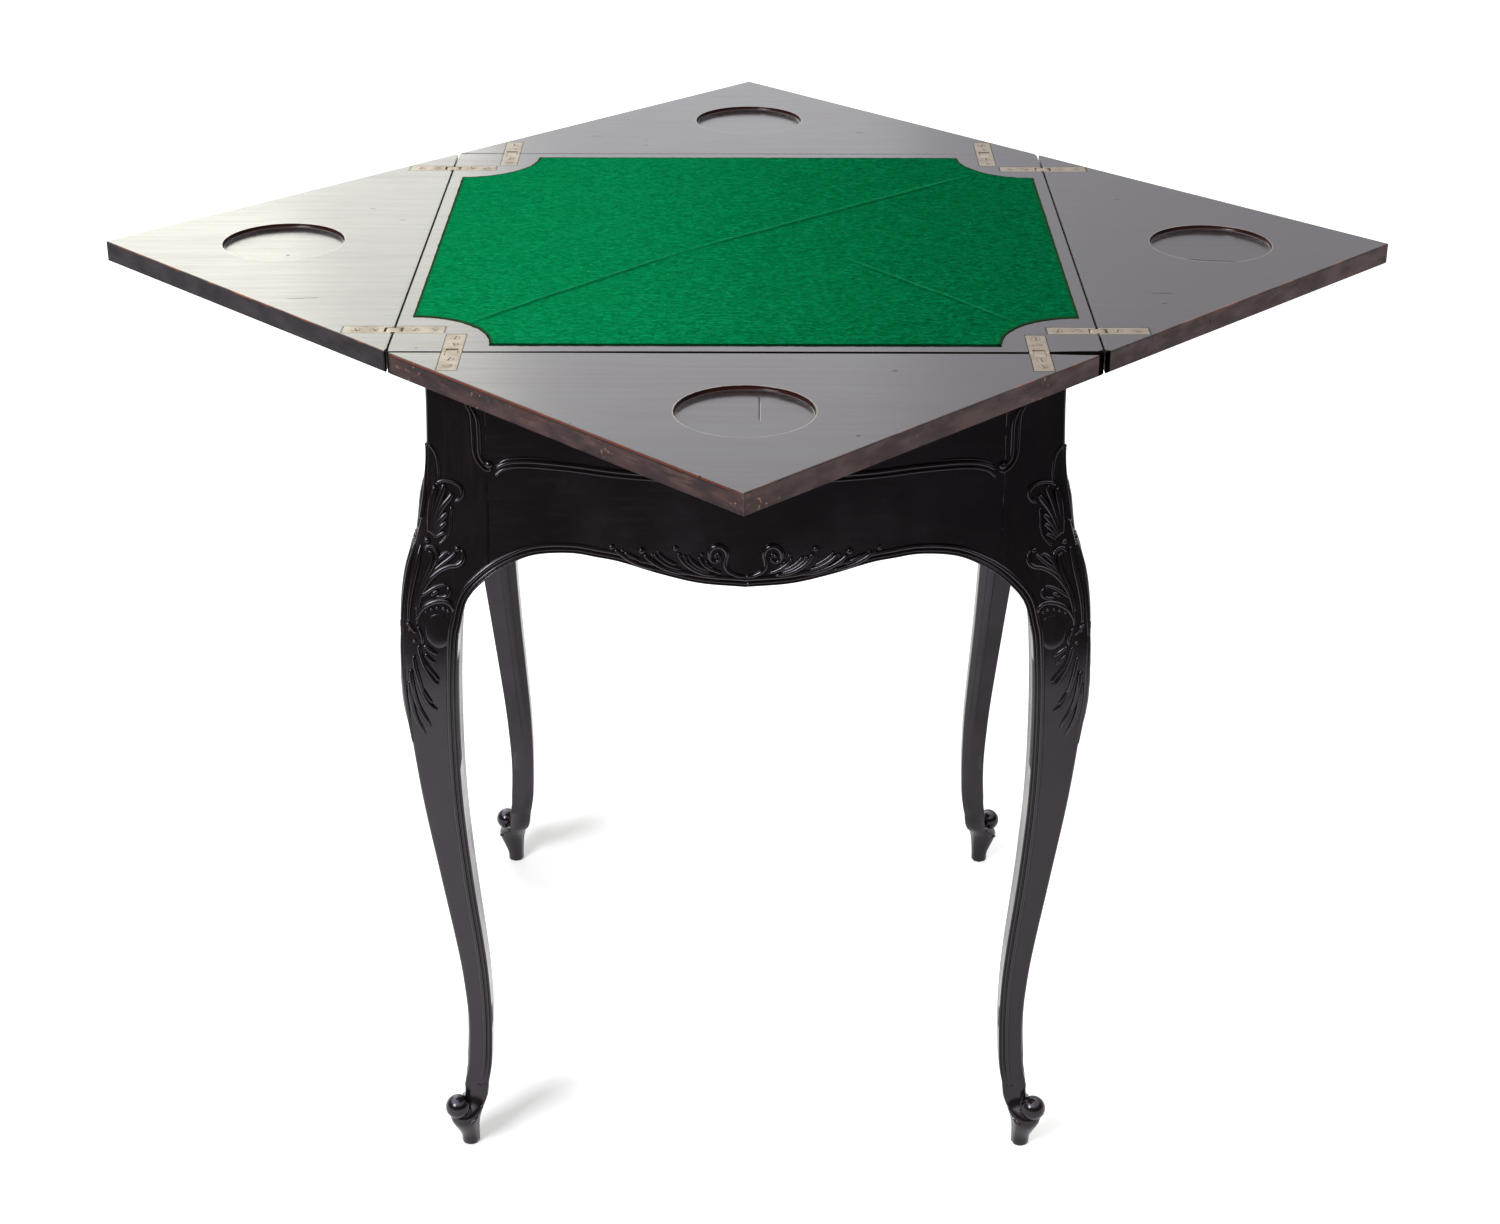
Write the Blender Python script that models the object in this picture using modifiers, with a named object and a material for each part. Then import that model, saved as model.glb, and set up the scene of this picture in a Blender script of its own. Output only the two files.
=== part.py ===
"""Envelope games table: a swivelling square top with four folding triangular leaves on a cabriole-legged base.

Metres, +Z up, floor at z = 0, table centre on the Z axis, front towards -Y. The top is shown unturned
with its four leaves opened level. Each leaf hangs on two link hinges: a brass link between two pins, the
inner pin in the plate on the panel and the outer pin in the plate on the leaf.
"""

import math

import bmesh
import bpy
import numpy as np
from mathutils import Matrix, Vector

# Overall sizes
TABLE_HEIGHT = 0.745
PANEL_SIDE = 0.540
BOARD_THICKNESS = 0.017
OVERHANG = 0.0247

# Clearances
SEAT_GAP = 0.0003
RUNNING_GAP = 0.0005
CUT_OVERRUN = 0.004
WELD = 0.000002
FLAT_ANGLE = math.radians(0.5)
SMOOTH_ANGLE = math.radians(30)
QUARTER_TURN = math.pi / 2

# Leaves
SEAM_GAP = 0.0015
DIAGONAL_GAP = 0.0008
TIP_TRIM = 0.002
EDGE_SOFTENING = 0.0004
WELL_RADIUS = 0.051
WELL_DEPTH = 0.005
WELL_COVE = 0.0032
WELL_DISH = 0.0006
WELL_FROM_SEAM = 0.120
WELL_STEPS = 40
COVE_STEPS = 3

# Baize
BAIZE_SIDE_MARGIN = 0.0115
BAIZE_END_MARGIN = 0.0145
BAIZE_CORNER_MARGIN = 0.0133
BAIZE_THICKNESS = 0.0012
BAIZE_RECESS = 0.0008
BAIZE_ARC_STEPS = 8
# The baize's corners: side in X, side in Y, and the angle at which the cut there starts, in degrees
BAIZE_CORNERS = ((1, 1, 270), (-1, 1, 360), (-1, -1, 90), (1, -1, 180))

# Link hinges
PIN_SPACING = 0.008
CLOSED_GAP = 0.0016
PIN_RADIUS = 0.0012
LINK_WIDTH = 0.009
LINK_SKIN = 0.0002
PLATE_WIDTH = 0.015
PLATE_LENGTH = 0.039
PLATE_THICKNESS = 0.002
PLATE_MARGIN = 0.003
KNUCKLE_FLOOR = 0.0012
KNUCKLE_END_WALL = 0.0022
FOLD_CLEARANCE = 0.00015
PIN_SIDES = 8
HOLE_SIDES = 12
LINK_END_STEPS = 6

# Frame
POST_SIDE = 0.0453
KNEE_SWING = 0.0266
APRON_THICKNESS = 0.020
FLARE_LENGTH = 0.075
BORDER_WIDTH = 0.005
BORDER_HEIGHT = 0.0015
CORNER_SOFTENING = 0.0025
TENON_LENGTH = 0.024
TENON_THICKNESS = 0.008
TENON_SHOULDER = 0.015
TENON_HEEL = 0.030
LEG_RINGS = 20
BEND_RINGS = 8
POST_RINGS = 8
FIRST_POINT_ANGLE = math.radians(225)
APRON_COLUMNS = 15

# Scroll foot
PAD_RADIUS = 0.0076
PAD_TOP_RADIUS = 0.0098
PAD_TOP_HEIGHT = 0.022
PAD_EDGE = 0.0016
ANKLE_HEIGHT = 0.060
SCROLL_RADIUS = 0.0098
SCROLL_HEIGHT = 0.042
SCROLL_REACH = 0.0143
PAD_SET_OUT = 0.0072
SCROLL_SIDES = 14
SCROLL_RINGS = 9
NECK_ROUNDNESS = 0.5

# Pivot
BEARER_WIDTH = 0.100
BEARER_THICKNESS = 0.020
BEARER_HOUSING = 0.008
SWIVEL_ANGLE = math.radians(45)
PEG_CIRCLE = 0.075
PEG_RADIUS = 0.005
PEG_SOCKET = 0.009
BOLT_RADIUS = 0.006
FLANGE_RADIUS = 0.025
FLANGE_THICKNESS = 0.004
WASHER_RADIUS = 0.014
WASHER_THICKNESS = 0.002
NUT_ACROSS_FLATS = 0.019
NUT_THICKNESS = 0.009
BOLT_END = 0.004
ROUND_SIDES = 20
SLOT_STEPS = 8
SLOT_END_STEPS = 6
HEX_SIDES = 6

# Heights of the leg's outer curve as shares of the leg, with its swing beyond the frieze as a share of the knee
OUTER_CURVE_shares = (
    (0.000, 0.08),
    (0.055, 0.05),
    (0.083, -0.04),
    (0.110, -0.18),
    (0.165, -0.25),
    (0.220, -0.18),
    (0.275, -0.04),
    (0.385, 0.33),
    (0.495, 0.69),
    (0.605, 0.94),
    (0.660, 1.00),
    (0.715, 0.95),
    (0.770, 0.73),
    (0.825, 0.31),
    (0.880, 0.10),
    (0.940, 0.02),
    (1.000, 0.00),
)
# The leg's thickness as a share of the post, at heights given as shares of the leg
LEG_THICKNESS_shares = (
    (0.000, 0.40),
    (0.055, 0.41),
    (0.083, 0.45),
    (0.110, 0.45),
    (0.165, 0.45),
    (0.220, 0.485),
    (0.275, 0.52),
    (0.385, 0.605),
    (0.495, 0.735),
    (0.605, 0.89),
    (0.687, 0.99),
    (0.715, 1.04),
    (0.741, 1.12),
)
# The apron's lower edge: distance from the middle as a share of the span between posts, height as a share of the leg
APRON_EDGE_shares = (
    (1.030, 0.7670),
    (0.950, 0.7790),
    (0.800, 0.7845),
    (0.650, 0.7828),
    (0.495, 0.7712),
    (0.338, 0.7568),
    (0.180, 0.7458),
    (0.000, 0.7413),
)
CURVE_STEPS = 10
# Rows of the apron's face between its moulded border and its top
APRON_ROW_shares = (0.10, 0.24, 0.42, 0.68, 1.0)
# The moulded border across its width: (distance from the edge, height above the face)
BORDER_EDGE_share = 0.5
BORDER_CREST_share = 0.45

# Derived sizes
BOARD_TOP = TABLE_HEIGHT
BOARD_UNDERSIDE = TABLE_HEIGHT - BOARD_THICKNESS
LEG_HEIGHT = BOARD_UNDERSIDE - RUNNING_GAP
SEAM = PANEL_SIDE / 2
FRAME_HALF = SEAM - OVERHANG
SPAN_HALF = FRAME_HALF - POST_SIDE
PIN_DEPTH = (PIN_SPACING - CLOSED_GAP) / 2
PIN_OFFSET = PIN_SPACING / 2
LINK_RADIUS = PIN_DEPTH - LINK_SKIN
HOLE_RADIUS = PIN_RADIUS + SEAT_GAP
KNUCKLE_LENGTH = PIN_OFFSET + LINK_RADIUS + SEAT_GAP + KNUCKLE_END_WALL
SLOT_DEPTH = PIN_DEPTH + LINK_RADIUS + SEAT_GAP
KNUCKLE_DEPTH = SLOT_DEPTH + KNUCKLE_FLOOR
EDGE_FROM_PIN = PIN_OFFSET - SEAM_GAP / 2
# The arris at each seam is planed back until both its corners turn inside the other board's path
ARRIS = FOLD_CLEARANCE + max(
    PIN_DEPTH - math.sqrt(PIN_OFFSET**2 - EDGE_FROM_PIN**2),
    EDGE_FROM_PIN - math.sqrt(PIN_OFFSET**2 - PIN_DEPTH**2),
)
HINGE_FROM_CORNER = PLATE_LENGTH + PLATE_WIDTH / 2 + PLATE_MARGIN
HINGE_OFFSET = SEAM - HINGE_FROM_CORNER
BEARER_TOP = LEG_HEIGHT
BEARER_UNDERSIDE = BEARER_TOP - BEARER_THICKNESS
SLOT_RADIUS = PEG_RADIUS + RUNNING_GAP

SIDES = {"right": 0.0, "back": QUARTER_TURN, "left": math.pi, "front": -QUARTER_TURN}
CORNERS = {
    "back_right": 0.0,
    "back_left": QUARTER_TURN,
    "front_left": math.pi,
    "front_right": -QUARTER_TURN,
}

for old in list(bpy.data.objects):
    bpy.data.objects.remove(old, do_unlink=True)
PARTS = bpy.data.collections.new("games_table")
CUTTERS = bpy.data.collections.new("cutters")
for collection in (PARTS, CUTTERS):
    bpy.context.scene.collection.children.link(collection)


def material(name, colour, roughness, metallic=0.0):
    """A plain Principled finish."""
    made = bpy.data.materials.new(name)
    made.use_nodes = True
    shader = made.node_tree.nodes["Principled BSDF"]
    shader.inputs["Base Color"].default_value = (*colour, 1.0)
    shader.inputs["Roughness"].default_value = roughness
    shader.inputs["Metallic"].default_value = metallic
    made.diffuse_color = (*colour, 1.0)
    return made


EBONISED = material("ebonised_wood", (0.016, 0.012, 0.014), 0.35)
BOARD_WOOD = material("polished_board", (0.035, 0.026, 0.024), 0.30)
INNER_WOOD = material("plain_beech", (0.30, 0.19, 0.10), 0.6)
BRASS = material("worn_brass", (0.58, 0.47, 0.29), 0.38, 1.0)
STEEL = material("dark_steel", (0.16, 0.15, 0.14), 0.5, 1.0)
FELT = material("green_baize", (0.006, 0.20, 0.055), 0.95)


def place(name, mesh, finish, parent=None, matrix=None):
    """Puts a mesh in the part under its own name, carried by an empty where it moves."""
    piece = bpy.data.objects.new(name, mesh)
    PARTS.objects.link(piece)
    piece.data.materials.clear()
    piece.data.materials.append(finish)
    piece.matrix_world = matrix or Matrix.Identity(4)
    if parent:
        piece.parent = parent
        piece.matrix_parent_inverse = parent_inverse(parent)
    return piece


def parent_inverse(parent):
    """The inverse of an unturned empty's place, counted up through its own parents."""
    return Matrix.Translation(-Vector(parent["place"]))


def axis_empty(name, location, parent=None):
    """An empty that stands on a joint's axis."""
    empty = bpy.data.objects.new(name, None)
    PARTS.objects.link(empty)
    empty["place"] = tuple(location)
    empty.location = location
    if parent:
        empty.parent = parent
        empty.matrix_parent_inverse = parent_inverse(parent)
    return empty


def to_mesh(bm, name):
    """Ends a bmesh: welds its doubles, turns its faces outwards and makes it a mesh."""
    bmesh.ops.remove_doubles(bm, verts=bm.verts, dist=WELD)
    bmesh.ops.dissolve_degenerate(bm, edges=bm.edges, dist=WELD)
    bmesh.ops.recalc_face_normals(bm, faces=bm.faces)
    mesh = bpy.data.meshes.new(name)
    bm.to_mesh(mesh)
    bm.free()
    return mesh


def box(low, high):
    """A box mesh between two corners."""
    low, high = Vector(low), Vector(high)
    bm = bmesh.new()
    bmesh.ops.create_cube(bm, size=1.0)
    size = high - low
    bmesh.ops.scale(bm, vec=size, verts=bm.verts)
    bmesh.ops.translate(bm, vec=low + size / 2, verts=bm.verts)
    return to_mesh(bm, "box")


def rod(radius, length, sides, centre, along="z"):
    """A cylinder mesh about a centre, along Y or Z."""
    bm = bmesh.new()
    bmesh.ops.create_cone(
        bm, cap_ends=True, segments=sides, radius1=radius, radius2=radius, depth=length
    )
    if along == "y":
        bmesh.ops.rotate(bm, matrix=Matrix.Rotation(QUARTER_TURN, 3, "X"), verts=bm.verts)
    bmesh.ops.translate(bm, vec=Vector(centre), verts=bm.verts)
    return to_mesh(bm, "rod")


def flat_solid(outline, low, high):
    """A flat outline in X and Y made solid between two heights."""
    curve = bpy.data.curves.new("outline", "CURVE")
    curve.dimensions = "2D"
    curve.fill_mode = "BOTH"
    curve.extrude = (high - low) / 2
    spline = curve.splines.new("POLY")
    spline.points.add(len(outline) - 1)
    for point, (x, y) in zip(spline.points, outline):
        point.co = (x, y, 0.0, 1.0)
    spline.use_cyclic_u = True
    holder = bpy.data.objects.new("outline", curve)
    CUTTERS.objects.link(holder)
    holder.hide_render = True
    mesh = evaluated_mesh(holder)
    bpy.data.objects.remove(holder)
    bm = bmesh.new()
    bm.from_mesh(mesh)
    bmesh.ops.remove_doubles(bm, verts=bm.verts, dist=WELD)
    bmesh.ops.dissolve_limit(
        bm, angle_limit=FLAT_ANGLE, verts=bm.verts, edges=bm.edges
    )
    bmesh.ops.translate(bm, vec=Vector((0, 0, (low + high) / 2)), verts=bm.verts)
    return to_mesh(bm, "flat_solid")


def evaluated_mesh(source):
    """The mesh that an object becomes once its modifiers have run."""
    bpy.context.view_layer.update()
    graph = bpy.context.evaluated_depsgraph_get()
    return bpy.data.meshes.new_from_object(source.evaluated_get(graph))


def turned(profile, steps):
    """A turned solid from a profile that runs down its outer side, from the axis to the axis."""
    mesh = bpy.data.meshes.new("profile")
    points = [(radius, 0.0, height) for radius, height in profile]
    mesh.from_pydata(points, [(i, i + 1) for i in range(len(points) - 1)], [])
    holder = bpy.data.objects.new("profile", mesh)
    CUTTERS.objects.link(holder)
    screw = holder.modifiers.new("turn", "SCREW")
    screw.steps = screw.render_steps = steps
    screw.use_merge_vertices = True
    screw.merge_threshold = WELD
    screw.use_smooth_shade = False
    done = evaluated_mesh(holder)
    bpy.data.objects.remove(holder)
    bm = bmesh.new()
    bm.from_mesh(done)
    return to_mesh(bm, "turned")


def combine(mesh, others, operation):
    """The mesh with other meshes cut from it or joined to it, one Boolean each."""
    piece = bpy.data.objects.new("combined", mesh)
    PARTS.objects.link(piece)
    helpers = []
    for other in others:
        helper = bpy.data.objects.new("cutter", other)
        CUTTERS.objects.link(helper)
        helper.hide_render = True
        helper.display_type = "WIRE"
        helpers.append(helper)
        step = piece.modifiers.new(operation, "BOOLEAN")
        step.operation = operation
        step.solver = "EXACT"
        step.object = helper
    done = evaluated_mesh(piece)
    for used in [piece, *helpers]:
        bpy.data.objects.remove(used)
    bm = bmesh.new()
    bm.from_mesh(done)
    return to_mesh(bm, "combined")


def moved(mesh, matrix):
    """A copy of a mesh, moved."""
    copy = mesh.copy()
    copy.transform(matrix)
    return copy


def joined(meshes):
    """Several meshes that lie apart, as one mesh."""
    bm = bmesh.new()
    for mesh in meshes:
        bm.from_mesh(mesh)
    return to_mesh(bm, "joined")


def loft(rings):
    """A solid through closed rings of equally many points, with flat ends."""
    bm = bmesh.new()
    rows = [[bm.verts.new(point) for point in ring] for ring in rings]
    count = len(rows[0])
    for lower, upper in zip(rows, rows[1:]):
        for i in range(count):
            j = (i + 1) % count
            bm.faces.new((lower[i], lower[j], upper[j], upper[i]))
    bm.faces.new(rows[0])
    bm.faces.new(rows[-1])
    return to_mesh(bm, "loft")


def smooth_curve(points, steps=CURVE_STEPS):
    """A Catmull-Rom curve through points, as a dense array."""
    points = [np.array(p, float) for p in points]
    padded = [2 * points[0] - points[1], *points, 2 * points[-1] - points[-2]]
    found = []
    for a, b, c, d in zip(padded, padded[1:], padded[2:], padded[3:]):
        for t in np.linspace(0, 1, steps, endpoint=False):
            found.append(
                0.5
                * (
                    2 * b
                    + (c - a) * t
                    + (2 * a - 5 * b + 4 * c - d) * t**2
                    + (3 * b - a - 3 * c + d) * t**3
                )
            )
    return np.array([*found, points[-1]])


OUTER = smooth_curve(
    [(z * LEG_HEIGHT, FRAME_HALF + s * KNEE_SWING) for z, s in OUTER_CURVE_shares]
)


def outer_at(z):
    """The leg's outer face, from the table's middle plane, at a height."""
    return float(np.interp(z, OUTER[:, 0], OUTER[:, 1]))


# The edge of the opening under the table, up the inside of a leg and along the apron to the middle
ARCH = smooth_curve(
    [
        (outer_at(z * LEG_HEIGHT) - s * POST_SIDE, z * LEG_HEIGHT)
        for z, s in LEG_THICKNESS_shares
    ]
    + [(x * SPAN_HALF, z * LEG_HEIGHT) for x, z in APRON_EDGE_shares]
)
CROWN = int(np.argmax(ARCH[:, 1]))
UNDER_START = CROWN
while ARCH[UNDER_START - 1, 0] > ARCH[UNDER_START, 0]:
    UNDER_START -= 1
UNDER = ARCH[UNDER_START:]
SHOULDER = float(np.interp(-SPAN_HALF, -UNDER[:, 0], UNDER[:, 1]))


def inner_at(z):
    """The leg's inner face at a height below the shoulder, or the post's above it."""
    if z >= SHOULDER:
        return SPAN_HALF
    return max(float(np.interp(z, ARCH[:CROWN, 1], ARCH[:CROWN, 0])), SPAN_HALF)


def edge_at(x):
    """The apron's lower edge at a distance from its middle."""
    return float(np.interp(-abs(x), -UNDER[:, 0], UNDER[:, 1]))


def border_rise(x):
    """The height of the moulded border above the apron's edge, which keeps its width square to that edge."""
    step = BORDER_WIDTH / 2
    slope = (edge_at(abs(x) + step) - edge_at(abs(x) - step)) / (2 * step)
    return BORDER_WIDTH * math.hypot(1.0, slope)


def border_run(z):
    """The border's width across the leg's face at a height, narrowing to nothing over the shoulder."""
    top = SHOULDER + border_rise(SPAN_HALF)
    if z >= top:
        return 0.0
    at = min(z, SHOULDER)
    step = BORDER_WIDTH / 2
    slope = (inner_at(at) - inner_at(at - step)) / step
    run = BORDER_WIDTH * math.hypot(1.0, slope)
    return run * (top - max(z, SHOULDER)) / (top - SHOULDER)


def leg_ring(z, roundness=0.0, centre=0.0, radius=0.0):
    """Twelve points of the leg's section in the back right corner, drawn towards a circle in the foot."""
    inner, outer = inner_at(z), outer_at(z)
    run = border_run(z)
    fade = min(1.0, max(0.0, (z - ANKLE_HEIGHT) / ANKLE_HEIGHT))
    rise = BORDER_HEIGHT * (fade if run else 0.0)
    # Over the shoulder the border's edge is on the apron, so the leg's own first point stands at the crest
    past = min(1.0, max(0.0, (z - SHOULDER) / border_rise(SPAN_HALF)))
    first = rise * (BORDER_EDGE_share + past * (1 - BORDER_EDGE_share))
    crest = inner + run * BORDER_CREST_share
    middle = (inner + outer) / 2
    soft = CORNER_SOFTENING
    half = [
        (outer + first, inner),
        (outer + rise, crest),
        (outer, inner + run),
        (outer, outer - soft),
    ]
    tip = outer - soft * (1 - math.sqrt(0.5))
    square = [(inner, inner), (middle, inner), *half, (tip, tip)]
    square += [(y, x) for x, y in reversed(half)] + [(inner, middle)]
    count = len(square)
    ring = []
    for i, (x, y) in enumerate(square):
        angle = FIRST_POINT_ANGLE + 2 * math.pi * i / count
        cx, cy = centre + radius * math.cos(angle), centre + radius * math.sin(angle)
        ring.append((x + (cx - x) * roundness, y + (cy - y) * roundness, z))
    return ring


def leg_mesh():
    """The cabriole leg with its post, the turned pad and the scroll at its toe, in the back right corner."""
    ankle_middle = (inner_at(ANKLE_HEIGHT) + outer_at(ANKLE_HEIGHT)) / 2
    pad_centre = ankle_middle + PAD_SET_OUT
    neck = (PAD_TOP_HEIGHT + ANKLE_HEIGHT) / 2
    rings = [
        leg_ring(0.0, 1.0, pad_centre, PAD_RADIUS - PAD_EDGE),
        leg_ring(PAD_EDGE, 1.0, pad_centre, PAD_RADIUS),
        leg_ring(PAD_TOP_HEIGHT, 1.0, pad_centre, PAD_TOP_RADIUS),
        leg_ring(neck, NECK_ROUNDNESS, (pad_centre + ankle_middle) / 2, PAD_TOP_RADIUS),
    ]
    shaft = np.linspace(ANKLE_HEIGHT, SHOULDER - POST_SIDE, LEG_RINGS)
    bend = np.linspace(SHOULDER - POST_SIDE, SHOULDER, BEND_RINGS)[1:]
    rise = border_rise(SPAN_HALF)
    top = np.linspace(SHOULDER + rise, LEG_HEIGHT, POST_RINGS)
    for z in [*shaft, *bend, SHOULDER + rise / 2, *top]:
        rings.append(leg_ring(float(z)))
    bm = bmesh.new()
    bmesh.ops.create_uvsphere(
        bm, u_segments=SCROLL_SIDES, v_segments=SCROLL_RINGS, radius=SCROLL_RADIUS
    )
    # The scroll's poles lie across the diagonal, as the eyes of the rolled toe do
    bmesh.ops.rotate(bm, matrix=Matrix.Rotation(QUARTER_TURN, 3, "X"), verts=bm.verts)
    bmesh.ops.rotate(bm, matrix=Matrix.Rotation(QUARTER_TURN / 2, 3, "Z"), verts=bm.verts)
    at = ankle_middle + SCROLL_REACH
    bmesh.ops.translate(bm, vec=Vector((at, at, SCROLL_HEIGHT)), verts=bm.verts)
    leg = combine(loft(rings), [to_mesh(bm, "scroll")], "UNION")
    across = FRAME_HALF - APRON_THICKNESS / 2
    half = TENON_THICKNESS / 2 + SEAT_GAP
    bottom = SHOULDER + TENON_HEEL - SEAT_GAP
    top_of_tenon = LEG_HEIGHT - TENON_SHOULDER + SEAT_GAP
    mortises = []
    for turn in (0, 1):
        low = [across - half, SPAN_HALF - CUT_OVERRUN]
        high = [across + half, SPAN_HALF + TENON_LENGTH + SEAT_GAP]
        if turn:
            low.reverse()
            high.reverse()
        mortises.append(box((*low, bottom), (*high, top_of_tenon)))
    return combine(leg, mortises, "DIFFERENCE")


def apron_face(x, z):
    """How far the apron's face stands from the table's middle plane: it flares to meet the knees."""
    share = min(1.0, max(0.0, (abs(x) - (SPAN_HALF - FLARE_LENGTH)) / FLARE_LENGTH))
    blend = share * share * (3 - 2 * share)
    return FRAME_HALF + blend * (outer_at(z) - FRAME_HALF)


def apron_mesh(housed):
    """An apron along Y with its face towards +X: shaped lower edge, moulded border and a tenon at each end."""
    length = SPAN_HALF - SEAT_GAP
    spread = np.sin(np.linspace(0, QUARTER_TURN, APRON_COLUMNS))
    columns = [*(-length * spread[::-1]), *(length * spread[1:])]
    back = FRAME_HALF - APRON_THICKNESS
    rings = []
    for x in columns:
        edge, rise = edge_at(x), border_rise(x)
        quirk = edge + rise
        crest = edge + rise * BORDER_CREST_share
        ring = [
            (back, edge),
            (apron_face(x, edge) + BORDER_HEIGHT * BORDER_EDGE_share, edge),
            (apron_face(x, crest) + BORDER_HEIGHT, crest),
            (apron_face(x, quirk), quirk),
        ]
        for share in APRON_ROW_shares:
            z = quirk + share * (LEG_HEIGHT - quirk)
            ring.append((apron_face(x, z), z))
        ring.append((back, LEG_HEIGHT))
        rings.append([(out, x, z) for out, z in ring])
    across = FRAME_HALF - APRON_THICKNESS / 2
    half = TENON_THICKNESS / 2
    bottom, top = SHOULDER + TENON_HEEL, LEG_HEIGHT - TENON_SHOULDER
    root = length - CUT_OVERRUN
    tip = SPAN_HALF + TENON_LENGTH
    tenons = [
        box((across - half, root, bottom), (across + half, tip, top)),
        box((across - half, -tip, bottom), (across + half, -root, top)),
    ]
    apron = combine(loft(rings), tenons, "UNION")
    if not housed:
        return apron
    side = BEARER_WIDTH / 2 + SEAT_GAP
    floor = BEARER_UNDERSIDE - SEAT_GAP
    notch = box(
        (back - CUT_OVERRUN, -side, floor),
        (back + BEARER_HOUSING, side, LEG_HEIGHT + CUT_OVERRUN),
    )
    return combine(apron, [notch], "DIFFERENCE")


def softened(mesh, width, chosen):
    """The mesh with some of its edges planed off at 45 degrees: those whose two ends pass a test."""
    bm = bmesh.new()
    bm.from_mesh(mesh)
    edges = [edge for edge in bm.edges if chosen(*(vert.co for vert in edge.verts))]
    bmesh.ops.bevel(bm, geom=edges, offset=width, segments=1, affect="EDGES")
    return to_mesh(bm, "softened")


def slanting(a, b):
    """Whether an edge is level and runs across both X and Y, as a leaf's outer edges do."""
    return abs(a.z - b.z) < WELD and abs(a.x - b.x) > WELD and abs(a.y - b.y) > WELD


def on_top(a, b):
    """Whether an edge lies in the boards' top surface."""
    return min(a.z, b.z) > BOARD_TOP - WELD


def hinge_profile(grow):
    """The side outline of a hinge plate, out from the seam and down from the surface, grown by a clearance."""
    start = SEAM_GAP / 2
    return start, [
        (PLATE_LENGTH + grow, -PLATE_THICKNESS - grow),
        (KNUCKLE_LENGTH + grow, -PLATE_THICKNESS - grow),
        (KNUCKLE_LENGTH + grow, -KNUCKLE_DEPTH - grow),
    ]


def standing(outline, half_width):
    """An outline in X and Z made solid to both sides of the XZ plane."""
    flat = flat_solid(outline, -half_width, half_width)
    return moved(flat, Matrix.Rotation(QUARTER_TURN, 4, "X"))


def plate_mesh():
    """A hinge plate that runs out along +X from the seam at the origin, its knuckle slotted for the link."""
    start, lower = hinge_profile(0.0)
    outline = [
        (start, -KNUCKLE_DEPTH),
        (start, -ARRIS),
        (start + ARRIS, 0.0),
        (PLATE_LENGTH, 0.0),
        *lower,
    ]
    slot_half = LINK_WIDTH / 2 + SEAT_GAP
    slot = box(
        (-CUT_OVERRUN, -slot_half, -SLOT_DEPTH),
        (PIN_OFFSET + LINK_RADIUS + SEAT_GAP, slot_half, CUT_OVERRUN),
    )
    bore = rod(
        HOLE_RADIUS,
        PLATE_WIDTH + CUT_OVERRUN,
        HOLE_SIDES,
        (PIN_OFFSET, 0.0, -PIN_DEPTH),
        "y",
    )
    return combine(standing(outline, PLATE_WIDTH / 2), [slot, bore], "DIFFERENCE")


def recess_cutter():
    """The pocket for one plate in the board that carries it, open at the seam."""
    _, lower = hinge_profile(SEAT_GAP)
    outline = [
        (0.0, lower[-1][1]),
        (0.0, CUT_OVERRUN),
        (lower[0][0], CUT_OVERRUN),
        *lower,
    ]
    return standing(outline, PLATE_WIDTH / 2 + SEAT_GAP)


def link_mesh():
    """The link: a bar with round ends about both pins, bored for them."""
    outline = []
    for side in (1, -1):
        for i in range(LINK_END_STEPS + 1):
            angle = math.pi * (i / LINK_END_STEPS - 0.5)
            outline.append(
                (
                    side * (PIN_OFFSET + LINK_RADIUS * math.cos(angle)),
                    side * LINK_RADIUS * math.sin(angle) - PIN_DEPTH,
                )
            )
    bores = [
        rod(
            HOLE_RADIUS,
            LINK_WIDTH + CUT_OVERRUN,
            HOLE_SIDES,
            (x, 0.0, -PIN_DEPTH),
            "y",
        )
        for x in (-PIN_OFFSET, PIN_OFFSET)
    ]
    return combine(standing(outline, LINK_WIDTH / 2), bores, "DIFFERENCE")


def hinge_places(side):
    """Where the two hinges of a side stand: name and matrix, +X out over the leaf and Y along the seam."""
    turn = Matrix.Rotation(SIDES[side], 4, "Z")
    for i, offset in enumerate((-HINGE_OFFSET, HINGE_OFFSET)):
        yield i + 1, turn @ Matrix.Translation((SEAM, offset, BOARD_TOP))


def well_cutter():
    """The turned well in a leaf: a cove down to a slightly dished floor."""
    rim = WELL_RADIUS - WELL_COVE
    profile = [(0.0, CUT_OVERRUN), (WELL_RADIUS, CUT_OVERRUN), (WELL_RADIUS, 0.0)]
    shoulder = WELL_DEPTH - WELL_DISH - WELL_COVE
    for i in range(COVE_STEPS + 1):
        angle = QUARTER_TURN * i / COVE_STEPS
        profile.append(
            (rim + WELL_COVE * math.cos(angle), -shoulder - WELL_COVE * math.sin(angle))
        )
    profile.append((0.0, -WELL_DEPTH))
    return turned(profile, WELL_STEPS)


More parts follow.
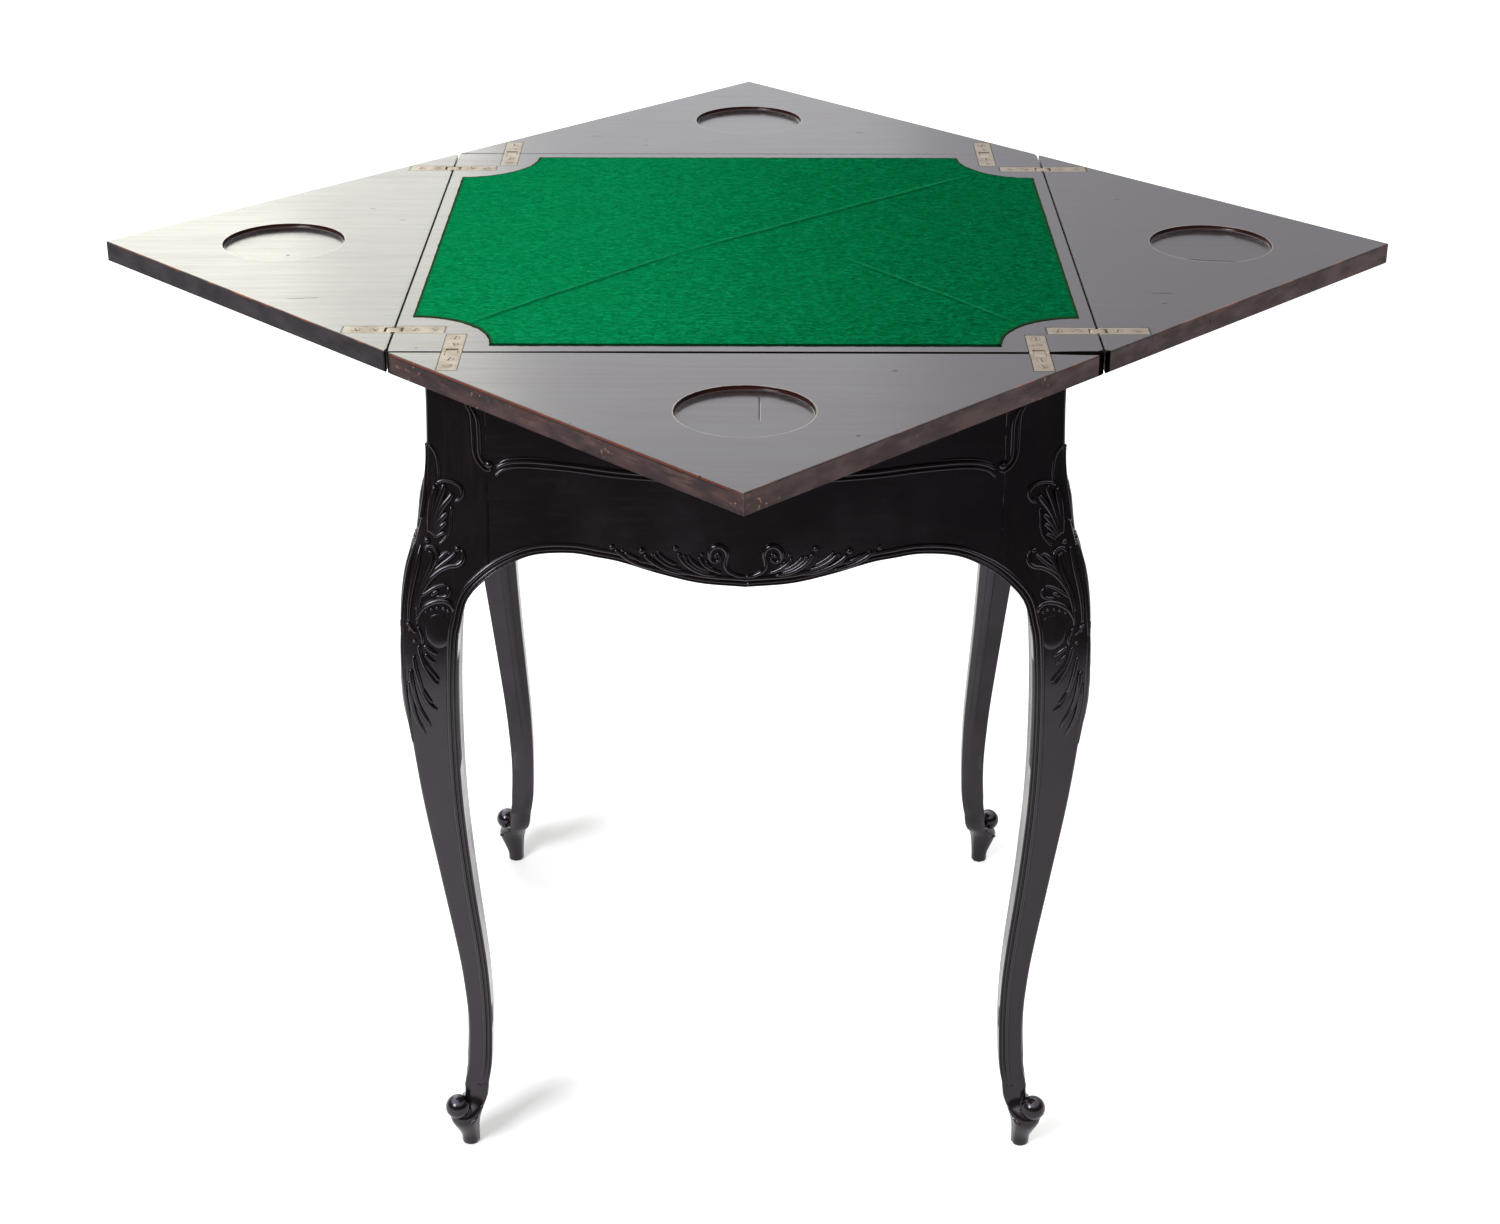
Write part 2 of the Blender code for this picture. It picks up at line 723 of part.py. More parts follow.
def leaf_mesh():
    """A leaf that opens towards +X: a right-angled triangle hung along the seam, with its well."""
    seam = SEAM + SEAM_GAP / 2
    slant = DIAGONAL_GAP / 2 * math.sqrt(2)
    reach = PANEL_SIDE - slant
    end = SEAM - TIP_TRIM
    outline = [
        (seam, -end),
        (reach - end, -end),
        (reach, 0.0),
        (reach - end, end),
        (seam, end),
    ]
    board = flat_solid(outline, BOARD_UNDERSIDE, BOARD_TOP)
    board = softened(board, EDGE_SOFTENING, slanting)
    arris = [
        (seam - CUT_OVERRUN, BOARD_TOP - ARRIS - CUT_OVERRUN),
        (seam + ARRIS + CUT_OVERRUN, BOARD_TOP + CUT_OVERRUN),
        (seam - CUT_OVERRUN, BOARD_TOP + CUT_OVERRUN),
    ]
    board = combine(board, [standing(arris, SEAM)], "DIFFERENCE")
    well = moved(
        well_cutter(), Matrix.Translation((SEAM + WELL_FROM_SEAM, 0.0, BOARD_TOP))
    )
    pocket = recess_cutter()
    pockets = [
        moved(pocket, Matrix.Translation((SEAM, offset, BOARD_TOP)))
        for offset in (-HINGE_OFFSET, HINGE_OFFSET)
    ]
    return combine(board, [well, joined(pockets)], "DIFFERENCE")


def baize_outline(grow):
    """The baize: a rectangle whose corners are cut away in quarter circles round the hinge plates."""
    half_x = SEAM - BAIZE_SIDE_MARGIN
    half_y = SEAM - BAIZE_END_MARGIN
    radius = (
        math.hypot(
            HINGE_FROM_CORNER + PLATE_WIDTH / 2 - BAIZE_SIDE_MARGIN,
            PLATE_LENGTH - BAIZE_END_MARGIN,
        )
        + BAIZE_CORNER_MARGIN
        - grow
    )
    outline = []
    for sx, sy, first in BAIZE_CORNERS:
        for i in range(BAIZE_ARC_STEPS + 1):
            angle = math.radians(first) - QUARTER_TURN * i / BAIZE_ARC_STEPS
            x = sx * half_x + radius * math.cos(angle)
            y = sy * half_y + radius * math.sin(angle)
            x = math.copysign(min(abs(x), half_x), x)
            y = math.copysign(min(abs(y), half_y), y)
            # The straight edges move out by the clearance as well
            if abs(abs(x) - half_x) < WELD:
                x += sx * grow
            if abs(abs(y) - half_y) < WELD:
                y += sy * grow
            outline.append((x, y))
    return outline


def panel_mesh():
    """The centre panel: pockets for eight hinge plates, the baize's recess, and sockets under it for pivot and peg."""
    half = SEAM - SEAM_GAP / 2
    corners = [(-half, -half), (half, -half), (half, half), (-half, half)]
    board = softened(flat_solid(corners, BOARD_UNDERSIDE, BOARD_TOP), ARRIS, on_top)
    back_to_back = Matrix.Rotation(math.pi, 4, "Z")
    pocket = recess_cutter()
    pockets = [
        moved(pocket, matrix @ back_to_back)
        for side in SIDES
        for _, matrix in hinge_places(side)
    ]
    recess = flat_solid(
        baize_outline(SEAT_GAP), BOARD_TOP - BAIZE_RECESS, BOARD_TOP + CUT_OVERRUN
    )
    low = BOARD_UNDERSIDE - CUT_OVERRUN
    flange = rod(
        FLANGE_RADIUS + SEAT_GAP,
        FLANGE_THICKNESS + SEAT_GAP + CUT_OVERRUN,
        ROUND_SIDES,
        (0.0, 0.0, (BOARD_UNDERSIDE + FLANGE_THICKNESS + SEAT_GAP + low) / 2),
    )
    socket = rod(
        PEG_RADIUS + SEAT_GAP,
        PEG_SOCKET + SEAT_GAP + CUT_OVERRUN,
        ROUND_SIDES,
        (*peg_place(), (BOARD_UNDERSIDE + PEG_SOCKET + SEAT_GAP + low) / 2),
    )
    return combine(
        combine(board, [joined(pockets), recess], "DIFFERENCE"),
        [joined([flange, socket])],
        "DIFFERENCE",
    )


def peg_place():
    """The stop peg at rest, at the start of its slot."""
    angle = QUARTER_TURN - SWIVEL_ANGLE / 2
    return PEG_CIRCLE * math.cos(angle), PEG_CIRCLE * math.sin(angle)


def stop_slot():
    """The curved slot that the peg runs in, as long as the top may turn."""
    first = QUARTER_TURN - SWIVEL_ANGLE / 2
    last = first + SWIVEL_ANGLE
    outline = []
    for radius, start, end in (
        (PEG_CIRCLE + SLOT_RADIUS, first, last),
        (PEG_CIRCLE - SLOT_RADIUS, last, first),
    ):
        for i in range(SLOT_STEPS + 1):
            angle = start + (end - start) * i / SLOT_STEPS
            outline.append((radius * math.cos(angle), radius * math.sin(angle)))
        # A round end carries the outline on to the slot's other side
        for i in range(1, SLOT_END_STEPS):
            turn = math.pi * i / SLOT_END_STEPS + (end if end == last else end + math.pi)
            outline.append(
                (
                    PEG_CIRCLE * math.cos(end) + SLOT_RADIUS * math.cos(turn),
                    PEG_CIRCLE * math.sin(end) + SLOT_RADIUS * math.sin(turn),
                )
            )
    return outline


def bearer_mesh():
    """The cross bearer, housed in the front and back aprons: the pivot's bore and the peg's curved slot."""
    reach = FRAME_HALF - APRON_THICKNESS + BEARER_HOUSING - SEAT_GAP
    half = BEARER_WIDTH / 2
    board = box((-half, -reach, BEARER_UNDERSIDE), (half, reach, BEARER_TOP))
    bore = rod(
        BOLT_RADIUS + SEAT_GAP,
        BEARER_THICKNESS + 2 * CUT_OVERRUN,
        ROUND_SIDES,
        (0.0, 0.0, (BEARER_UNDERSIDE + BEARER_TOP) / 2),
    )
    slot = flat_solid(
        stop_slot(), BEARER_UNDERSIDE - CUT_OVERRUN, BEARER_TOP + CUT_OVERRUN
    )
    return combine(board, [bore, slot], "DIFFERENCE")


def ring_solid(outer, sides, low, high):
    """A washer or nut about the Z axis, bored for the pivot bolt."""
    bore = rod(
        BOLT_RADIUS + SEAT_GAP,
        high - low + 2 * CUT_OVERRUN,
        ROUND_SIDES,
        (0.0, 0.0, (low + high) / 2),
    )
    body = rod(outer, high - low, sides, (0.0, 0.0, (low + high) / 2))
    return combine(body, [bore], "DIFFERENCE")


def build_base():
    """Legs, aprons and the bearer between them."""
    leg = leg_mesh()
    for name, angle in CORNERS.items():
        place(f"leg_{name}", leg.copy(), EBONISED, None, Matrix.Rotation(angle, 4, "Z"))
    plain, housed = apron_mesh(False), apron_mesh(True)
    for side, angle in SIDES.items():
        mesh = housed if side in ("front", "back") else plain
        place(
            f"apron_{side}", mesh.copy(), EBONISED, None, Matrix.Rotation(angle, 4, "Z")
        )
    place("cross_bearer", bearer_mesh(), INNER_WOOD)


def build_pivot(swivel):
    """The pivot bolt with its flange under the panel, its washer and nut, and the stop peg."""
    washer_top = BEARER_UNDERSIDE - SEAT_GAP
    washer_low = washer_top - WASHER_THICKNESS
    nut_top = washer_low - SEAT_GAP
    nut_low = nut_top - NUT_THICKNESS
    profile = [
        (0.0, BOARD_UNDERSIDE + FLANGE_THICKNESS),
        (FLANGE_RADIUS, BOARD_UNDERSIDE + FLANGE_THICKNESS),
        (FLANGE_RADIUS, BOARD_UNDERSIDE),
        (BOLT_RADIUS, BOARD_UNDERSIDE),
        (BOLT_RADIUS, nut_low - BOLT_END),
        (0.0, nut_low - BOLT_END),
    ]
    place("pivot_bolt", turned(profile, ROUND_SIDES), STEEL, swivel)
    washer = ring_solid(WASHER_RADIUS, ROUND_SIDES, washer_low, washer_top)
    place("pivot_washer", washer, STEEL, swivel)
    corner_radius = NUT_ACROSS_FLATS / 2 / math.cos(math.pi / HEX_SIDES)
    nut = ring_solid(corner_radius, HEX_SIDES, nut_low, nut_top)
    place("pivot_nut", nut, STEEL, swivel)
    peg_length = PEG_SOCKET + RUNNING_GAP + BEARER_THICKNESS
    peg = rod(
        PEG_RADIUS,
        peg_length,
        ROUND_SIDES,
        (*peg_place(), BOARD_UNDERSIDE + PEG_SOCKET - peg_length / 2),
    )
    place("stop_peg", peg, INNER_WOOD, swivel)


def build_top(swivel):
    """The centre panel with its baize, and on each side a leaf on two link hinges."""
    place("centre_panel", panel_mesh(), BOARD_WOOD, swivel)
    bottom = BOARD_TOP - BAIZE_RECESS + SEAT_GAP
    baize = flat_solid(baize_outline(0.0), bottom, bottom + BAIZE_THICKNESS)
    place("baize", baize, FELT, swivel)
    leaf, plate, link = leaf_mesh(), plate_mesh(), link_mesh()
    pin = rod(PIN_RADIUS, PLATE_WIDTH, PIN_SIDES, (0.0, 0.0, -PIN_DEPTH), "y")
    back_to_back = Matrix.Rotation(math.pi, 4, "Z")
    for side, angle in SIDES.items():
        turn = Matrix.Rotation(angle, 4, "Z")
        height = BOARD_TOP - PIN_DEPTH
        inner = turn @ Vector((SEAM - PIN_OFFSET, 0.0, height))
        outer = turn @ Vector((SEAM + PIN_OFFSET, 0.0, height))
        link_axis = axis_empty(f"inner_pin_axis_{side}", inner, swivel)
        leaf_axis = axis_empty(f"outer_pin_axis_{side}", outer, link_axis)
        place(f"leaf_{side}", leaf.copy(), BOARD_WOOD, leaf_axis, turn)
        for number, at in hinge_places(side):
            name = f"hinge_{side}_{number}"
            inward = Matrix.Translation((-PIN_OFFSET, 0.0, 0.0))
            outward = Matrix.Translation((PIN_OFFSET, 0.0, 0.0))
            place(f"{name}_panel_plate", plate.copy(), BRASS, swivel, at @ back_to_back)
            place(f"{name}_leaf_plate", plate.copy(), BRASS, leaf_axis, at)
            place(f"{name}_link", link.copy(), BRASS, link_axis, at)
            place(f"{name}_inner_pin", pin.copy(), BRASS, swivel, at @ inward)
            place(f"{name}_outer_pin", pin.copy(), BRASS, leaf_axis, at @ outward)


build_base()
swivel_axis = axis_empty("swivel_axis", Vector((0.0, 0.0, BOARD_UNDERSIDE)))
build_pivot(swivel_axis)
build_top(swivel_axis)
for piece in PARTS.objects:
    if piece.type == "MESH":
        piece.data.shade_smooth()
        piece.data.set_sharp_from_angle(angle=SMOOTH_ANGLE)
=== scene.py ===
"""Dresses the envelope games table: smooth ebonised base with carving, boards, baize, brass and screws.

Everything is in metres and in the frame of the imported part: the table stands on z = 0, its centre is at
x = y = 0 and its front looks along -y. Carving is listed in millimetres for one half of one side, as
(distance from the middle of the side, height, half width of the strand), and then repeated.
"""

import bisect
import math

import bmesh
import bpy
from mathutils import Matrix, Vector, noise
from mathutils.bvhtree import BVHTree
from mathutils.geometry import delaunay_2d_cdt


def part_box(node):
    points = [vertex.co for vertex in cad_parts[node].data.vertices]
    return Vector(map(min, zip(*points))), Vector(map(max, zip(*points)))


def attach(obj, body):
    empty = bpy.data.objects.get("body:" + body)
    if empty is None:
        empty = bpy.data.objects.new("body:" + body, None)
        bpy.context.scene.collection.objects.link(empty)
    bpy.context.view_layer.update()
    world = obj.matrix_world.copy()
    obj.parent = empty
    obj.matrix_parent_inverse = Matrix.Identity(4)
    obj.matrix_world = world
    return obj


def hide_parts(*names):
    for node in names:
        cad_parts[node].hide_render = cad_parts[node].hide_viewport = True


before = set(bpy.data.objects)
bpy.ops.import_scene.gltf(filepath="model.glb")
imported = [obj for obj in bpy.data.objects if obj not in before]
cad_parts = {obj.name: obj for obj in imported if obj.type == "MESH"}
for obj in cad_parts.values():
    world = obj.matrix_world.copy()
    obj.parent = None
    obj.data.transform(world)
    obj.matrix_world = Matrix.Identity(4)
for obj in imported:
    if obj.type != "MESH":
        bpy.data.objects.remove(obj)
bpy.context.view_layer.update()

MM = 0.001
QUARTER = math.pi / 2
# Each row follows from the one before by a quarter turn
SIDES = ("front", "right", "back", "left")
LEGS = ("front_right", "back_right", "back_left", "front_left")

# Driving sizes, read from the frame
PANEL_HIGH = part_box("centre_panel")[1]
TABLE_TOP = PANEL_HIGH.z
SEAM = PANEL_HIGH.x
SEAM_MIDDLE = (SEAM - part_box("leaf_front")[1].y) / 2
LEAF_TIP = -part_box("leaf_front")[0].y
LEG_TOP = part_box("leg_front_left")[1].z

# Sizes of the base
FRIEZE = 0.2453
POST_SIDE = 0.0453
POST_INNER = FRIEZE - POST_SIDE
KNEE_SWING = 0.0266
APRON_THICKNESS = 0.020
FLARE_LENGTH = 0.075
CORNER_SOFTENING = 0.0025
JOINT_GAP = 0.00001
ANKLE_HEIGHT = 0.060
BORDER_FADE = 0.022
BORDER_LEAST_share = 0.05

# Height up the leg as a share of it, and how far its outer face stands past the frieze as a share of the knee
OUTER_CURVE_shares = (
    (0.000, 0.08), (0.055, 0.05), (0.083, -0.04), (0.110, -0.18), (0.165, -0.25), (0.220, -0.18),
    (0.275, -0.04), (0.385, 0.33), (0.495, 0.69), (0.605, 0.94), (0.660, 1.00), (0.715, 0.95),
    (0.770, 0.73), (0.825, 0.31), (0.880, 0.10), (0.940, 0.02), (1.000, 0.00),
)
# Height up the leg as a share of it, and its thickness as a share of the post
THICKNESS_shares = (
    (0.000, 0.40), (0.055, 0.41), (0.083, 0.45), (0.110, 0.45), (0.165, 0.45), (0.220, 0.485),
    (0.275, 0.52), (0.385, 0.605), (0.495, 0.735), (0.605, 0.89), (0.687, 0.99), (0.715, 1.04),
    (0.741, 1.12),
)
# The apron's lower edge: distance from the middle as a share of the span, height as a share of the leg
EDGE_shares = (
    (1.0185, 0.7619), (0.9355, 0.7765), (0.8325, 0.7847), (0.6970, 0.7824), (0.5875, 0.7765),
    (0.4950, 0.7710), (0.3380, 0.7568), (0.1800, 0.7458), (0.0000, 0.7413),
)
# Reeds of the moulded border, from the edge inwards: middle, half width and height in millimetres
REEDS = ((0.85, 0.75, 0.9), (3.1, 1.25, 1.3), (6.9, 2.1, 1.9))
FACE_shares = (0.0, 0.05, 0.12, 0.22, 0.35, 0.5, 0.66, 0.82, 1.0)
# The turned pad and the swell above it: height, inner and outer reach from the ankle's middle (mm), roundness
FOOT_RINGS = (
    (0.0, 0.2, 14.0, 1.0), (0.5, -0.3, 14.6, 1.0), (1.4, -0.5, 14.9, 1.0), (6.0, -0.5, 15.0, 1.0),
    (10.0, -0.6, 15.8, 1.0), (15.0, -0.8, 18.0, 1.0), (20.0, -1.1, 20.4, 1.0), (25.0, -1.6, 22.8, 1.0),
    (30.0, -2.6, 24.2, 0.98), (35.0, -4.0, 23.4, 0.92), (40.0, -5.8, 18.2, 0.75), (45.0, -7.5, 14.0, 0.45),
    (54.0, -9.0, 10.6, 0.15),
)
SCROLL_RADIUS = 0.0108
SCROLL_SHIFT = 0.0160
SCROLL_HEIGHT = 0.0420
# Points round the section of a strand or a reed, as shares of its half width and of its height
STRAND_SECTION = (
    (-1.0, -0.45), (-0.92, 0.22), (-0.62, 0.68), (0.0, 1.0), (0.62, 0.68), (0.92, 0.22), (1.0, -0.45),
)
SHAFT_STEP = 0.005
BEND_STEP = 0.0007
BEND_BELOW = 0.013
BEND_ABOVE = 0.010
COLUMN_STEP = 0.0025
LEAN_STEP = 0.0001


def new_object(name, mesh):
    """An object for the mesh, in the scene."""
    made = bpy.data.objects.new(name, mesh)
    bpy.context.scene.collection.objects.link(made)
    return made


def finished(name, bm, materials, body, smooth_angle=QUARTER):
    """Turns a bmesh into a piece that rides on a body and takes its finish from a material slot."""
    bmesh.ops.recalc_face_normals(bm, faces=bm.faces)
    for face in bm.faces:
        face.smooth = True
    for edge in bm.edges:
        edge.smooth = edge.calc_face_angle(0) < smooth_angle
    mesh = bpy.data.meshes.new(name)
    bm.to_mesh(mesh)
    bm.free()
    for material in materials:
        mesh.materials.append(material)
    made = new_object(name, mesh)
    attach(made, body)
    return made


def turned(bm, times):
    """A copy of the bmesh, turned by quarter turns about the table's centre."""
    copy = bm.copy()
    copy.transform(Matrix.Rotation(QUARTER * times, 4, "Z"))
    return copy


def absorb(target, source, matrix=Matrix.Identity(4)):
    """Adds a moved copy of the source bmesh to the target."""
    mesh = bpy.data.meshes.new("passing")
    source.to_mesh(mesh)
    mesh.transform(matrix)
    target.from_mesh(mesh)
    bpy.data.meshes.remove(mesh)


def smooth_curve(points, steps):
    """A Catmull-Rom curve through points."""
    points = [Vector(p) for p in points]
    padded = [2 * points[0] - points[1], *points, 2 * points[-1] - points[-2]]
    found = []
    for a, b, c, d in zip(padded, padded[1:], padded[2:], padded[3:]):
        for i in range(steps):
            t = i / steps
            bend = (2 * a - 5 * b + 4 * c - d) * t**2 + (3 * b - a - 3 * c + d) * t**3
            found.append((2 * b + (c - a) * t + bend) / 2)
    found.append(points[-1])
    return found


class Reading:
    """Reads a value off a curve of (place, value) points."""

    def __init__(self, points):
        rows = sorted((p[0], p[1]) for p in points)
        self.places = [row[0] for row in rows]
        self.values = [row[1] for row in rows]

    def __call__(self, place):
        i = min(max(bisect.bisect_right(self.places, place), 1), len(self.places) - 1)
        start, end = self.places[i - 1], self.places[i]
        share = min(max((place - start) / (end - start), 0.0), 1.0)
        return self.values[i - 1] + (self.values[i] - self.values[i - 1]) * share


CURVE_STEPS = 12
outer_at = Reading(
    smooth_curve([(z * LEG_TOP, FRIEZE + s * KNEE_SWING) for z, s in OUTER_CURVE_shares], CURVE_STEPS)
)
# The edge of the opening under the table, up the inside of a leg and along the apron to the middle
ARCH = smooth_curve(
    [(outer_at(z * LEG_TOP) - s * POST_SIDE, z * LEG_TOP) for z, s in THICKNESS_shares]
    + [(x * POST_INNER, z * LEG_TOP) for x, z in EDGE_shares],
    CURVE_STEPS,
)
CROWN = max(range(len(ARCH)), key=lambda i: ARCH[i].y)
UNDER_START = CROWN
while ARCH[UNDER_START - 1].x > ARCH[UNDER_START].x:
    UNDER_START -= 1
inner_curve = Reading([(p.y, p.x) for p in ARCH[:CROWN]])
edge_curve = Reading([(p.x, p.y) for p in ARCH[UNDER_START:]])
SHOULDER = edge_curve(POST_INNER)


def inner_at(z):
    """The leg's inner face at a height below the shoulder, or the post's above it."""
    return POST_INNER if z >= SHOULDER else max(inner_curve(z), POST_INNER)


def edge_at(x):
    """The apron's lower edge at a distance from its middle."""
    return edge_curve(abs(x))


def beside_edge(distance):
    """A line at a distance from the edge of the opening, from the floor up and to the apron's middle."""
    line = []
    last = len(ARCH) - 1
    for i, point in enumerate(ARCH):
        along = (ARCH[min(i + 1, last)] - ARCH[max(i - 1, 0)]).normalized()
        line.append(point + Vector((along.y, -along.x)) * distance)
    return line


def face_at(u, z):
    """How far the plain face stands from the table's middle plane: the apron flares to meet the knees."""
    share = min(1.0, max(0.0, (abs(u) - (POST_INNER - FLARE_LENGTH)) / FLARE_LENGTH))
    blend = share * share * (3 - 2 * share)
    return FRIEZE + blend * (outer_at(z) - FRIEZE)


def on_face(u, z):
    """The point of the front at a distance from its middle and a height, and its normal."""
    lean_u = (face_at(u + LEAN_STEP, z) - face_at(u - LEAN_STEP, z)) / (2 * LEAN_STEP)
    lean_z = (face_at(u, z + LEAN_STEP) - face_at(u, z - LEAN_STEP)) / (2 * LEAN_STEP)
    return Vector((u, -face_at(u, z), z)), Vector((-lean_u, -1, -lean_z)).normalized()


def skin(rings):
    """A closed body through rings of equally many points."""
    bm = bmesh.new()
    rows = [[bm.verts.new(point) for point in ring] for ring in rings]
    count = len(rows[0])
    for lower, upper in zip(rows, rows[1:]):
        for i in range(count):
            j = (i + 1) % count
            bm.faces.new((lower[i], lower[j], upper[j], upper[i]))
    bm.faces.new(rows[0])
    bm.faces.new(rows[-1])
    return bm


def rounded(place, along, up, half, height):
    """One ring of a rounded strand or reed, across the line that it follows."""
    side = up.cross(along).normalized()
    return [place + side * (half * a) + up * (height * b) for a, b in STRAND_SECTION]


def steps_between(low, high, step):
    """Even steps of about the given size, without the last one."""
    count = max(1, round((high - low) / step))
    return [low + (high - low) * i / count for i in range(count)]


# Legs and aprons


def leg_section(z):
    """The leg's section in the front right corner, as points (right, forward)."""
    inner, outer = inner_at(z), outer_at(z)
    start = outer - CORNER_SOFTENING
    side = [(inner + share * (start - inner), outer) for share in FACE_shares]
    corner = [
        (start + CORNER_SOFTENING * math.sin(angle), start + CORNER_SOFTENING * math.cos(angle))
        for angle in (QUARTER * 0.25, QUARTER * 0.5, QUARTER * 0.75)
    ]
    middle = (inner + outer) / 2
    mirrored = [(b, a) for a, b in reversed(side)]
    return [(inner, inner), (inner, middle), *side, *corner, *mirrored, (middle, inner)]


ANKLE_MIDDLE = (inner_at(ANKLE_HEIGHT) + outer_at(ANKLE_HEIGHT)) / 2


def foot_section(near, far, roundness):
    """The ankle's section drawn towards a circle that reaches from near to far."""
    centre, radius = ANKLE_MIDDLE + (near + far) / 2, (far - near) / 2
    section = []
    for a, b in leg_section(ANKLE_HEIGHT):
        angle = math.atan2(b - ANKLE_MIDDLE, a - ANKLE_MIDDLE)
        round_a = centre + radius * math.cos(angle)
        round_b = centre + radius * math.sin(angle)
        section.append((a + (round_a - a) * roundness, b + (round_b - b) * roundness))
    return section


def leg_form():
    """The cabriole leg in the front right corner, with its turned pad and the scroll at its toe."""
    rings = []
    for height, near, far, roundness in FOOT_RINGS:
        section = foot_section(near * MM, far * MM, roundness)
        rings.append([(a, -b, height * MM) for a, b in section])
    heights = steps_between(ANKLE_HEIGHT, SHOULDER - BEND_BELOW, SHAFT_STEP)
    heights += steps_between(SHOULDER - BEND_BELOW, SHOULDER + BEND_ABOVE, BEND_STEP)
    heights += [*steps_between(SHOULDER + BEND_ABOVE, LEG_TOP, SHAFT_STEP), LEG_TOP]
    rings += [[(a, -b, z) for a, b in leg_section(z)] for z in heights]
    bm = skin(rings)
    at = ANKLE_MIDDLE + SCROLL_SHIFT
    to_eyes = Matrix.Rotation(-QUARTER / 2, 4, "Z") @ Matrix.Rotation(QUARTER, 4, "X")
    bmesh.ops.create_uvsphere(
        bm, u_segments=28, v_segments=18, radius=SCROLL_RADIUS,
        matrix=Matrix.Translation((at, -at, SCROLL_HEIGHT)) @ to_eyes,
    )
    return bm


def apron_form():
    """The front apron with its shaped edge, flared to the knees."""
    length = POST_INNER - JOINT_GAP
    columns = [*steps_between(-length, length, COLUMN_STEP), length]
    back = FRIEZE - APRON_THICKNESS
    rings = []
    for x in columns:
        edge = edge_at(x)
        rows = [edge + share * (LEG_TOP - edge) for share in FACE_shares]
        rings.append([(x, -back, edge), *[(x, -face_at(x, z), z) for z in rows], (x, -back, LEG_TOP)])
    return skin(rings)


def add_reed(bm, line, half, height, fades):
    """One rounded reed of the border along a line on the front."""
    found = [on_face(p.x, p.y) for p in line]
    rings = []
    last = len(line) - 1
    for i, (place, up) in enumerate(found):
        along = (found[min(i + 1, last)][0] - found[max(i - 1, 0)][0]).normalized()
        rise = height * MM
        if fades:
            rise *= min(1.0, max(BORDER_LEAST_share, (place.z - ANKLE_HEIGHT) / BORDER_FADE))
        rings.append(rounded(place, along, up, half * MM, rise))
    absorb(bm, skin(rings))


def border():
    """The moulded border on one half of a side: its part on the right leg and its part on the apron."""
    on_leg, on_apron = bmesh.new(), bmesh.new()
    for distance, half, height in REEDS:
        line = beside_edge(distance * MM)
        turn = max(i for i, p in enumerate(line) if p.x > POST_INNER)
        share = (line[turn].x - POST_INNER) / (line[turn].x - line[turn + 1].x)
        joint = line[turn].lerp(line[turn + 1], share)
        shaft = [p for p in line[: turn + 1] if p.y > ANKLE_HEIGHT]
        add_reed(on_leg, [*shaft, joint], half, height, True)
        add_reed(on_apron, [joint, *line[turn + 1:]], half, height, False)
    return on_leg, on_apron


# Materials


class Nodes:
    """A node tree in the making: its methods add nodes and give back their output sockets."""

    def __init__(self, tree):
        self.tree = tree

    def add(self, kind):
        return self.tree.nodes.new("ShaderNode" + kind)

    def put(self, socket, value):
        """Links a socket or sets a plain value."""
        if isinstance(value, bpy.types.NodeSocket):
            self.tree.links.new(value, socket)
        else:
            socket.default_value = value

    def fill(self, node, **values):
        """Links or sets a node's inputs by name, with underscores for the spaces."""
        for key, value in values.items():
            self.put(node.inputs[key.replace("_", " ")], value)

    def step(self, operation, *values):
        """One step of arithmetic with numbers or sockets."""
        node = self.add("Math")
        node.operation = operation
        for socket, value in zip(node.inputs, values):
            self.put(socket, value)
        return node.outputs[0]

    def chain(self, operation, first, *others):
        """The same step with one value after another."""
        for other in others:
            first = self.step(operation, first, other)
        return first

    def times(self, *factors):
        return self.chain("MULTIPLY", *factors)

    def plus(self, *terms):
        return self.chain("ADD", *terms)

    def minus(self, first, second):
        return self.step("SUBTRACT", first, second)

    def most(self, *values):
        return self.chain("MAXIMUM", *values)

    def least(self, *values):
        return self.chain("MINIMUM", *values)

    def size(self, value):
        return self.step("ABSOLUTE", value)

    def off(self, value, middle):
        """How far a value is from a middle one."""
        return self.size(self.minus(value, middle))

    def length(self, first, second):
        """The length of the slope over two legs at right angles."""
        return self.step("SQRT", self.scaled(first, first, self.times(second, second)))

    def scaled(self, value, factor, offset):
        return self.step("MULTIPLY_ADD", value, factor, offset)

    def pick(self, share, first, second):
        """A number that goes from the first to the second with a share."""
        return self.scaled(share, self.minus(second, first), first)

    def between(self, value, low, high, start=0.0, end=1.0):
        """Maps low..high smoothly to start..end."""
        node = self.add("MapRange")
        node.interpolation_type = "SMOOTHSTEP"
        self.fill(node, Value=value, From_Min=low, From_Max=high, To_Min=start, To_Max=end)
        return node.outputs["Result"]

    def coats(self, colour, *layers):
        """A colour with others laid over it, each given as its share and itself."""
        for share, coat in layers:
            node = self.add("Mix")
            node.data_type = "RGBA"
            self.put(node.inputs[0], share)
            for socket, value in zip([s for s in node.inputs if s.type == "RGBA"], (colour, coat)):
                self.put(socket, value)
            colour = next(s for s in node.outputs if s.type == "RGBA")
        return colour

    def parts(self, vector):
        """The three coordinates of a place or a direction."""
        node = self.add("SeparateXYZ")
        self.put(node.inputs[0], vector)
        return node.outputs

    def ray(self, kind):
        """1 for rays of a kind."""
        return self.add("LightPath").outputs["Is " + kind + " Ray"]


